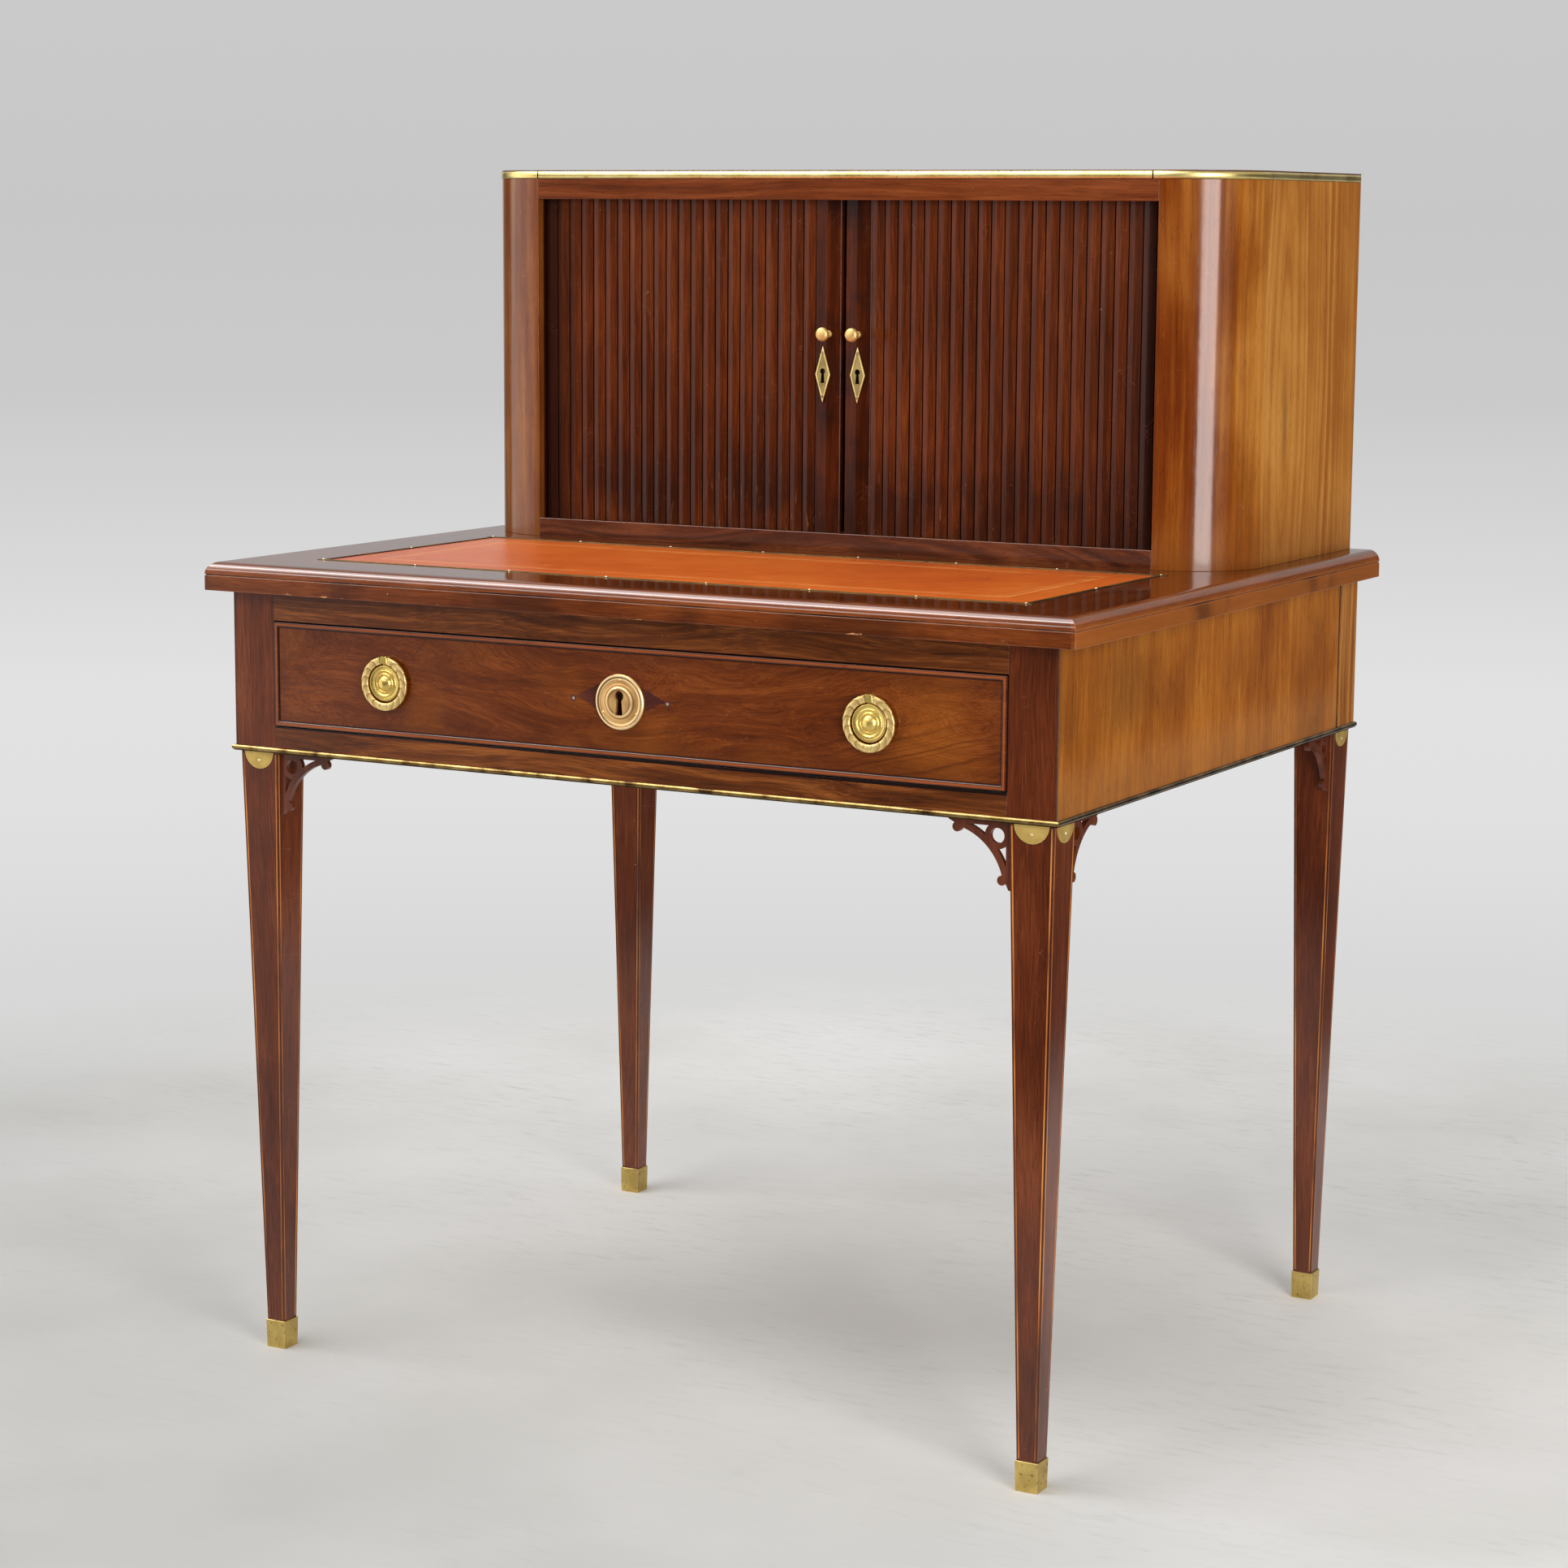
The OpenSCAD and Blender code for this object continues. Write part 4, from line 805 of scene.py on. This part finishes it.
def worn_moulding(place, colour):
    """The side mouldings are golden low down. Dirt fills the scored line and lies under it in
    places, and the border and its lower edge are splintered."""
    side_end, front_end, scored_line = 0.44, -0.355, 0.7405
    x, y, z = parts(place)
    soiled = noise(place, 9.0, 4.0)
    scored = eased(abs(z - scored_line), 0.0005, 0.0011, 0.85, 0) * eased(soiled, 0.44, 0.56, 0.3, 1)
    lower_band = eased(z, 0.738, 0.741, 1, 0) * eased(soiled, 0.45, 0.6, 0.1, 0.6)
    dirt = most(scored, lower_band) * most(abs(x) > side_end - 0.01, y < front_end + 0.01)
    splinters = noise(mapped(place, Scale=(0.3, 1.0, 1.0)), 210.0, 8.0, Roughness=0.75)
    low_edge = eased(z, 0.7265, 0.7315, 0.2, 0) * eased(y, -0.35, -0.34, 1, 0)
    chipped = splinters + low_edge * eased(noise(place, 11.0, 1.0), 0.45, 0.6) > 0.75
    beside = eased(abs(x), 0.428, 0.434) * (abs(x) - side_end > front_end - y)
    colour = blend(beside * eased(z, 0.739, 0.746, 0.5, 0.1), colour, (160, 92, 28))
    return blend(chipped * 0.75, blend(dirt, colour, (36, 14, 6)), (196, 140, 96))


dress(["writing_top"], polished_wood(
    "top_wood", ((74, 31, 9), (102, 48, 17), (128, 66, 27)), grain="X", seed=1.9, ring=0.012, waver=0.04,
    shares=(0.15, 0.25, 0.3, 0.3), edge=(176, 112, 72), edge_reach=0.0016, edge_share=0.4, speck=0.3,
    gloss=0.09, laid=mitred, worn=worn_moulding), 0.0005)
dress(["leather_edge_strips"],
      old_brass("strip_brass", (126, 104, 66), (94, 74, 46), (50, 38, 26), 0.4, 30.0), 0.0002)


# ----------------------------------------
# Leather: one skin of tan goat, glued into the recess of the top, waxed, with a pair of
# tooled lines along its edge. It lies a little hollow where papers were moved about.
# ----------------------------------------

TOOLED_LINES = (0.036, 0.043)


def waxed_leather():
    material, place = new_material("waxed_leather")
    colour = ramp(noise(place, 6.0, 6.0), (0.32, (194, 84, 20)), (0.5, (212, 99, 28)), (0.7, (222, 116, 40)))
    from_edge = carried(place, "from_edge")
    worn = noise(place, 40.0, 4.0)
    for distance, strength in zip(TOOLED_LINES, (0.95, 0.4)):
        line = (abs(from_edge - distance) < 0.0012) * held(worn * 3.0 - 0.7)
        colour = blend(line * strength, colour, (248, 176, 96))
    colour = blend(eased(from_edge, 0.0, 0.002, 0.5, 0), colour, (110, 48, 20))
    large, small = (use(SPECKS, place, Spacing=spacing, Size=size, Share=share)
                    for spacing, size, share in ((0.011, 0.0009, 0.4), (0.004, 0.0004, 0.15)))
    colour = blend(large["Specks"] * 0.8, colour, (246, 200, 160))
    colour = blend(small["Scratches"] * 0.5, colour, (224, 140, 84))
    colour = blend(small["Specks"] * 0.6, colour, (246, 190, 140))
    dashes = noise(mapped(place, Scale=(0.16, 1.0, 1.0)), 420.0, 2.0) > 0.69
    colour = blend(dashes * held(worn * 3.0 - 1.2) * 0.55, colour, (240, 170, 110))
    grain = put("TexVoronoi", {"Vector": place, "Scale": 800.0}, "Distance")
    return surface(material, {"Base Color": colour, "Roughness": worn * 0.2 + 0.22,
                              "Normal": bumped(grain, 0.08, 0.0002)})


def skin(build, rows):
    """Adds smooth faces between each row of points and the next."""
    for first, second in zip(rows, rows[1:]):
        for i in range(len(first) - 1):
            build.faces.new((first[i], first[i + 1], second[i + 1], second[i])).smooth = True


def leather_skin():
    low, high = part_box("leather_panel")
    lines = (0.0, 0.0006, 0.0014, 0.034, 0.0352, 0.036, 0.0368, 0.038, 0.042, 0.043, 0.044)

    def stations(start, end, inner_count):
        inner = [start + 0.05 + (end - start - 0.1) * i / inner_count for i in range(inner_count + 1)]
        return [start + d for d in lines] + inner + [end - d for d in reversed(lines)]

    def point(x, y):
        edge = min(x - low.x, high.x - x, y - low.y, high.y - y)
        groove = sum(0.00018 * math.exp(-((edge - d) / 0.0006) ** 2) for d in TOOLED_LINES)
        turned_down = 0.0009 * math.exp(-edge / 0.0007)
        hollow = 0.00012 * (1 + math.sin(23 * x + 2) * math.sin(31 * y + 1)) * min(1, edge / 0.03)
        vert = build.verts.new((x, y, high.z - groove - turned_down - hollow))
        vert[layer] = edge
        return vert

    build = bmesh.new()
    layer = build.verts.layers.float.new("from_edge")
    skin(build, [[point(x, y) for x in stations(low.x, high.x, 60)] for y in stations(low.y, high.y, 24)])
    piece = built(build, "leather_skin", waxed_leather(), outward=False)
    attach(piece, "carcase")
    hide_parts("leather_panel")


leather_skin()


# ----------------------------------------
# Cabinet: thin curved sides under golden veneer with a heart figure towards the back, top
# board with a brass strip in three lengths on its edge, facing strips over and under.
# ----------------------------------------

EYE_Y, EYE_Z = 0.169, 0.883
STRIP_MIDDLE, STRIP_HALF = 1.1085, 0.0037


def paler_to_back(place, colour, figure):
    """The veneer is deep orange round the corner and pale tan behind, where soft arches
    stand one in the other round a small eye."""
    _, y, z = parts(place)
    ragged = y + figure["Streaks"] * 0.08 + figure["Clouds"] * 0.08
    aside, above = (y - EYE_Y) / 0.03, (z - EYE_Z) / 0.22
    bend = noise(mapped(place, Scale=(1.0, 1.0, 0.14)), 17.0, 3.0)
    reach = calc("SQRT", aside * aside + above * above) + bend
    arches = noise_along(reach * 3.4, 1.0) * 0.4 + figure["Clouds"] * 0.6
    tan = ramp(arches, (0.38, (146, 84, 22)), (0.5, (168, 107, 36)), (0.62, (188, 130, 56)))
    tan = blend(figure["Fibres"] * 0.35, tan, (140, 84, 26))
    tan = blend(eased(reach, 0.5, 0.75, 0.55, 0), tan, (96, 54, 16))
    colour = blend(eased(ragged, 0.1, 0.25), colour, tan)
    return blend(eased(z, 0.752, 0.83, 0.45, 0), colour, (120, 66, 22))


for side, name, tones, shares in (
        (-1, "cabinet_side_left", ((74, 28, 6), (94, 42, 12), (116, 58, 20)), (0.05, 0.2, 0.2, 0.55)),
        (1, "cabinet_side_right", ((80, 29, 1), (100, 41, 2), (124, 60, 5)), (0.05, 0.42, 0.2, 0.33))):
    dress([name], polished_wood(
        "veneer_" + name, tones, seed=0.6 + side, pith=(side * 0.418, EYE_Y, EYE_Z), taper=0.13, ring=0.006,
        waver=0.012, shares=shares, gloss=0.13, marks=paler_to_back), 0.0004)
dress(["cabinet_top"], polished_wood(
    "cabinet_top_wood", ((52, 24, 12), (80, 38, 20), (106, 54, 30)), grain="X", seed=6.6, gloss=0.3), 0.0005)
dress(["cabinet_top_rail"], polished_wood(
    "cabinet_rail_wood", ((68, 28, 8), (96, 43, 14), (120, 60, 26)), grain="X", seed=8.3,
    shares=(0.1, 0.4, 0.25, 0.25), edge=(70, 30, 14), edge_reach=0.001), 0.0006)
dress(["cabinet_bottom_rail"], polished_wood(
    "curly_rail_wood", ((48, 20, 8), (76, 34, 15), (112, 58, 28)), grain="X", seed=2.3,
    pith=(0.0, 0.1, 0.2), taper=0.6, ring=0.012, waver=0.12, shares=(0.45, 0.2, 0.15, 0.2),
    edge=(140, 78, 44), edge_reach=0.0014, edge_share=0.7), 0.0006)


def half_round(place):
    """The strip is rounded over, so its upper half shines."""
    up = (parts(place)[2] - STRIP_MIDDLE) / STRIP_HALF
    return bumped(calc("SQRT", held(1.0 - up * up)), 1.0, 0.0026)


def dirty_joints(place, colour):
    """Dirt lies along the strip's edges and in the joints between its lengths."""
    x, y, z = parts(place)
    dirt = eased(abs((z - STRIP_MIDDLE) / STRIP_HALF), 0.8, 0.95) * 0.85
    for joint in (-0.332, 0.326):
        dirt = most(dirt, (abs(x - joint) < 0.0007) * (y < 0.1))
    return blend(dirt, colour, (60, 40, 24))


dress(["cabinet_edge_strip"],
      old_brass("edge_brass", (255, 234, 160), (236, 204, 124), (150, 110, 58), 0.28, 30.0, 0.5,
                relief=half_round, worn=dirty_joints), 0.0002)
for names, name, grain, seed in ((["cabinet_floor", "cabinet_shelf"], "inner_board_wood", "X", 3.0),
                                 (["inner_sides"], "inner_side_wood", "Z", 3.6)):
    dress(names, polished_wood(name, ((80, 44, 24), (112, 66, 38), (138, 88, 54)), grain=grain, seed=seed,
                               gloss=0.45), 0.0005)


# ----------------------------------------
# Tambours: narrow mahogany slats, each planed to a low ridge, glued side by side on linen
# and bent round the corner behind the side. They draw up there as the door opens.
# ----------------------------------------

PITCH, SLAT_WIDE, SLAT_THICK, RIDGE_RISE = 0.0139, 0.0129, 0.007, 0.0021
SLAT_FRONT, SLAT_FOOT, SLAT_HEAD = 0.0555, 0.7625, 1.0925
CORNER_X, CORNER_Y, TURN_PER_SLAT = 0.332, 0.123, 0.2297


def slat_tones(place, colour, figure):
    """Slats of different boards, rubbed pale in places near their feet and dark with grime at their feet, with
    painted shade beside the jamb, on the slats round the corner and in the gaps between them."""
    joint = SLAT_FRONT + RIDGE_RISE
    x, y, z = parts(place)
    colour = scaled(colour, carried(place, "board") * 0.28 + 0.86)
    rubs = held(noise(mapped(place, Scale=(1.0, 1.0, 0.12)), 420.0, 3.0) * 8.0 - 5.0)
    low_down = eased(z, 0.765, 0.86, 1, 0.12) * eased(abs(x + 0.03), 0.05, 0.2, 1, 0.3)
    colour = blend(rubs * low_down * 0.55, colour, (176, 120, 84))
    feet = eased(z, 0.8, 0.88, 1, 0) * held(noise(place, 14.0, 3.0) * 5.0 - 1.9)
    # Grime at the feet; painted shade beside the jamb, on the slats round the corner, and on their sides
    # within the gaps.
    grime_and_shade = most(feet * 0.6, eased(abs(x), 0.285, 0.325) * 0.85)
    grime_and_shade = most(grime_and_shade, eased(y, joint - 0.0001, joint + 0.0004) * 0.9)
    return blend(grime_and_shade, colour, (30, 11, 6))


def slat_run(side, first_edge, straight, left_over, wood):
    """Slats from the stile to the jamb, and three more round the corner; side is -1 or 1."""
    name, keep = ("left", 0.054) if side < 0 else ("right", 0.025)
    dice = random.Random(40 + side)
    half = SLAT_WIDE / 2
    outline = [(-half, SLAT_THICK), (-half, RIDGE_RISE + 0.0003), (-half + 0.0003, RIDGE_RISE),
               (-0.0005, 0.00012), (0.0005, 0.00012), (half, RIDGE_RISE), (half, SLAT_THICK)]
    build = bmesh.new()
    layer = build.verts.layers.float.new("board")
    for k in range(straight + 3):
        lot, tilt = dice.random(), dice.uniform(-0.00018, 0.00018)
        if k < straight:
            centre, turn = Vector((side * (first_edge + (k + 0.5) * PITCH), SLAT_FRONT)), 0.0
        else:
            turn = side * (k - straight + 0.5 - left_over / PITCH) * TURN_PER_SLAT
            outward = Vector((math.sin(turn), -math.cos(turn)))
            centre = Vector((side * CORNER_X, CORNER_Y)) + outward * (CORNER_Y - SLAT_FRONT)
        bent = Matrix.Rotation(turn, 2)
        corners = [centre + bent @ Vector((u, depth + tilt * u / half)) for u, depth in outline]
        ends = [[build.verts.new((*corner, z)) for corner in corners] for z in (SLAT_FOOT, SLAT_HEAD)]
        for vert in (*ends[0], *ends[1]):
            vert[layer] = lot
        walls(build, ends)
    piece = built(build, "slats_" + name, wood)
    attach(piece, "carcase")
    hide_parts("tambour_slats_" + name)
    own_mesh(piece)


def linen():
    material, place = new_material("linen")
    warp, weft = (put("TexWave", {"Vector": place, "Scale": 260.0, "Distortion": 0.6}, "Fac",
                      wave_type="BANDS", bands_direction=direction) for direction in "XZ")
    threads = warp * weft
    colour = ramp(noise(place, 12.0, 4.0), (0.35, (116, 96, 68)), (0.65, (158, 138, 104)))
    return surface(material, {"Base Color": blend(threads * 0.4, colour, (178, 158, 124)), "Roughness": 0.9,
                              "Normal": bumped(threads, 0.4, 0.0003)})


def tambour_linen(side, weave):
    """Linen that follows the slats in shallow waves, one to each."""
    name, keep = ("left", 0.054) if side < 0 else ("right", 0.025)
    low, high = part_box("tambour_cloth_" + name)
    build = bmesh.new()
    across, upward = 140, 12
    line = []
    for i in range(across + 1):
        x = low.x + (high.x - low.x) * i / across
        line.append((x, (low.y + high.y) / 2 + 0.00015 * math.sin(2 * math.pi * (x - low.x) / PITCH)))
    heights = [low.z + (high.z - low.z) * j / upward for j in range(upward + 1)]
    skin(build, [[build.verts.new((x, y, z)) for x, y in line] for z in heights])
    piece = built(build, "linen_" + name, weave, outward=False)
    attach(piece, "carcase")
    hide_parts("tambour_cloth_" + name)
    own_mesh(piece)


slat_wood = polished_wood("slat_wood", ((48, 17, 3), (74, 29, 5), (100, 44, 10)), seed=2.7,
                          shares=(0.05, 0.3, 0.35, 0.3), speck=0.3, gloss=0.26, shine=0.16, marks=slat_tones)
weave = linen()
slat_run(-1, 0.02525, 22, 0.00095, slat_wood)
slat_run(1, 0.03425, 21, 0.00585, slat_wood)
tambour_linen(-1, weave)
tambour_linen(1, weave)


# ----------------------------------------
# Leading stiles: thicker than the slats but planed to the same low ridge, with tongues that
# run in the tracks. The edges where they meet are rubbed pale.
# ----------------------------------------

def polish_blots_and_keyhole_shade(place, colour, figure):
    """Blots of old polish, and painted shade for each keyhole: black on the stile behind the hole in its
    plate.
    """
    half_wide, half_tall = 0.0031, 0.0075
    x, _, z = parts(place)
    colour = blend(held(noise(place, 26.0, 4.0) * 4.0 - 1.9), colour, (34, 13, 8))
    for plate in ("door_key_plate_left", "door_key_plate_right"):
        low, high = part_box(plate)
        across, up = x - (low.x + high.x) / 2, z - ((low.z + high.z) / 2 - 0.0012)
        # Painted shade: the keyhole's dark is painted black on the stile, which has no hole.
        colour = blend((abs(across) < half_wide) * (abs(up) < half_tall), colour, (4, 2, 2))
    return colour


def stile(name, wood):
    low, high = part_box("door_stile_" + name)
    middle = (low.x + high.x) / 2
    half = (high.x - low.x) / 2
    build = bmesh.new()
    front = [(-half, 0.0076), (-half, 0.0026), (-half + 0.0005, 0.0021), (-0.0008, 0.0001), (0.0008, 0.0001),
             (half - 0.0005, 0.0021), (half, 0.0026), (half, 0.0076)]
    back = [(-half, 0.0076), (half, 0.0076), (half, 0.0195), (half - 0.0005, 0.02), (-half + 0.0005, 0.02),
            (-half, 0.0195)]
    for outline, heights in ((front, (low.z, high.z)), (back, (0.7715, 1.0835))):
        walls(build, [[build.verts.new((middle + x, low.y + depth, z)) for x, depth in outline]
                      for z in heights])
    piece = built(build, "stile_" + name, wood)
    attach(piece, name + "_door")
    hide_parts("door_stile_" + name)


stile_wood = polished_wood("stile_wood", ((34, 12, 3), (56, 20, 5), (84, 34, 9)), seed=5.8,
                           edge=(190, 120, 84), edge_reach=0.0006, edge_share=0.3, gloss=0.17, shine=0.12,
                           marks=polish_blots_and_keyhole_shade)
stile("left", stile_wood)
stile("right", stile_wood)


# ----------------------------------------
# Brass on the doors: turned knobs with a low domed head, and pointed keyhole plates with a
# raised border, each held by two slotted screws.
# ----------------------------------------

KNOB_BRASS = old_brass("knob_brass", (220, 184, 118), (204, 166, 102), (150, 104, 56), 0.4, 120.0, 0.3,
                       metal=0.7)
FIELD_BRASS = old_brass("field_brass", (168, 148, 92), (148, 128, 78), (104, 82, 46), 0.45, 120.0, 0.4,
                        metal=0.7)
BORDER_BRASS = old_brass("border_brass", (252, 232, 156), (230, 206, 132), (170, 134, 76), 0.3, 120.0, 0.3,
                         metal=0.6)


def knob(name):
    low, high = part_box("door_knob_" + name)
    profile = flowing([(3.4, 0), (3.5, 1.0), (2.9, 2.3), (2.0, 3.2), (2.0, 8.0), (2.6, 10.4), (5.2, 11.6),
                       (6.6, 12.4), (6.75, 13.8), (6.3, 15.4), (5.2, 16.5), (3.2, 17.3),
                       (1.2, 17.6)]) + [(0, 17.6)]
    build = bmesh.new()
    turned(build, Vector(((low.x + high.x) / 2, high.y, (low.z + high.z) / 2)), profile, 48)
    piece = built(build, "knob_" + name, KNOB_BRASS)
    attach(piece, name + "_door")
    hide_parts("door_knob_" + name)


def keyhole_outline(round_r, foot, drop):
    """A keyhole's round head, a little over the plate's middle, and its widening foot, in
    millimetres."""
    up = 3.0
    turns = [math.radians(-60 + 15 * i) for i in range(21)]
    head = [(round_r * math.cos(turn), up + round_r * math.sin(turn)) for turn in turns]
    return head + [(-foot, up - drop), (foot, up - drop)]


def sawn_plate(name, outlines, thick, place):
    """A flat plate with holes, so many millimetres thick, its edges eased."""
    arris = 0.00012
    curve = bpy.data.curves.new(name, "CURVE")
    curve.dimensions = "2D"
    curve.fill_mode = "BOTH"
    curve.extrude = thick / 2000 - arris
    curve.bevel_depth = arris
    curve.bevel_resolution = 1
    curve.offset = -arris
    for outline in outlines:
        spline = curve.splines.new("POLY")
        spline.points.add(len(outline) - 1)
        for point, (x, z) in zip(spline.points, outline):
            point.co = (x / 1000, z / 1000, 0, 1)
        spline.use_cyclic_u = True
    drawn = new_object(name, curve)
    mesh = bpy.data.meshes.new_from_object(drawn.evaluated_get(bpy.context.evaluated_depsgraph_get()))
    bpy.data.objects.remove(drawn)
    middle = place - Vector((0, thick / 2000, 0))
    mesh.transform(Matrix.Translation(middle) @ Matrix.Rotation(math.pi / 2, 4, "X"))
    return mesh


def keyhole_lozenge(name):
    low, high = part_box("door_key_plate_" + name)
    place = Vector(((low.x + high.x) / 2, high.y, (low.z + high.z) / 2))
    wide, tall = (high.x - low.x) * 500, (high.z - low.z) * 500

    def lozenge(inset):
        x, z = wide - inset * 1.05, tall - inset * 3.6
        return [(0, z), (x, 0), (0, -z), (-x, 0)]

    hole, rim = keyhole_outline(2.8, 2.2, 11.2), keyhole_outline(3.5, 2.9, 12.1)
    build = bmesh.new()
    for number, (layer, outlines, thick) in enumerate((("field", (lozenge(0.3), hole), 1.0),
                                                       ("border", (lozenge(0), lozenge(1.1)), 1.5),
                                                       ("rim", (rim, hole), 1.3))):
        plate = sawn_plate(layer, outlines, thick, place)
        build.from_mesh(plate)
        build.faces.ensure_lookup_table()
        for face in build.faces[-len(plate.polygons):]:
            face.material_index = number % 2
    piece = built(build, "lozenge_" + name, FIELD_BRASS, outward=False)
    piece.data.materials.append(BORDER_BRASS)
    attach(piece, name + "_door")
    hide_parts("door_key_plate_" + name)


for name in ("left", "right"):
    knob(name)
    keyhole_lozenge(name)
dress(["door_plate_screws_left", "door_plate_screws_right"],
      old_brass("screw_brass", (240, 214, 176), (214, 170, 124), (150, 100, 66), 0.25, 200.0, 0.3), 0.0003, 3)
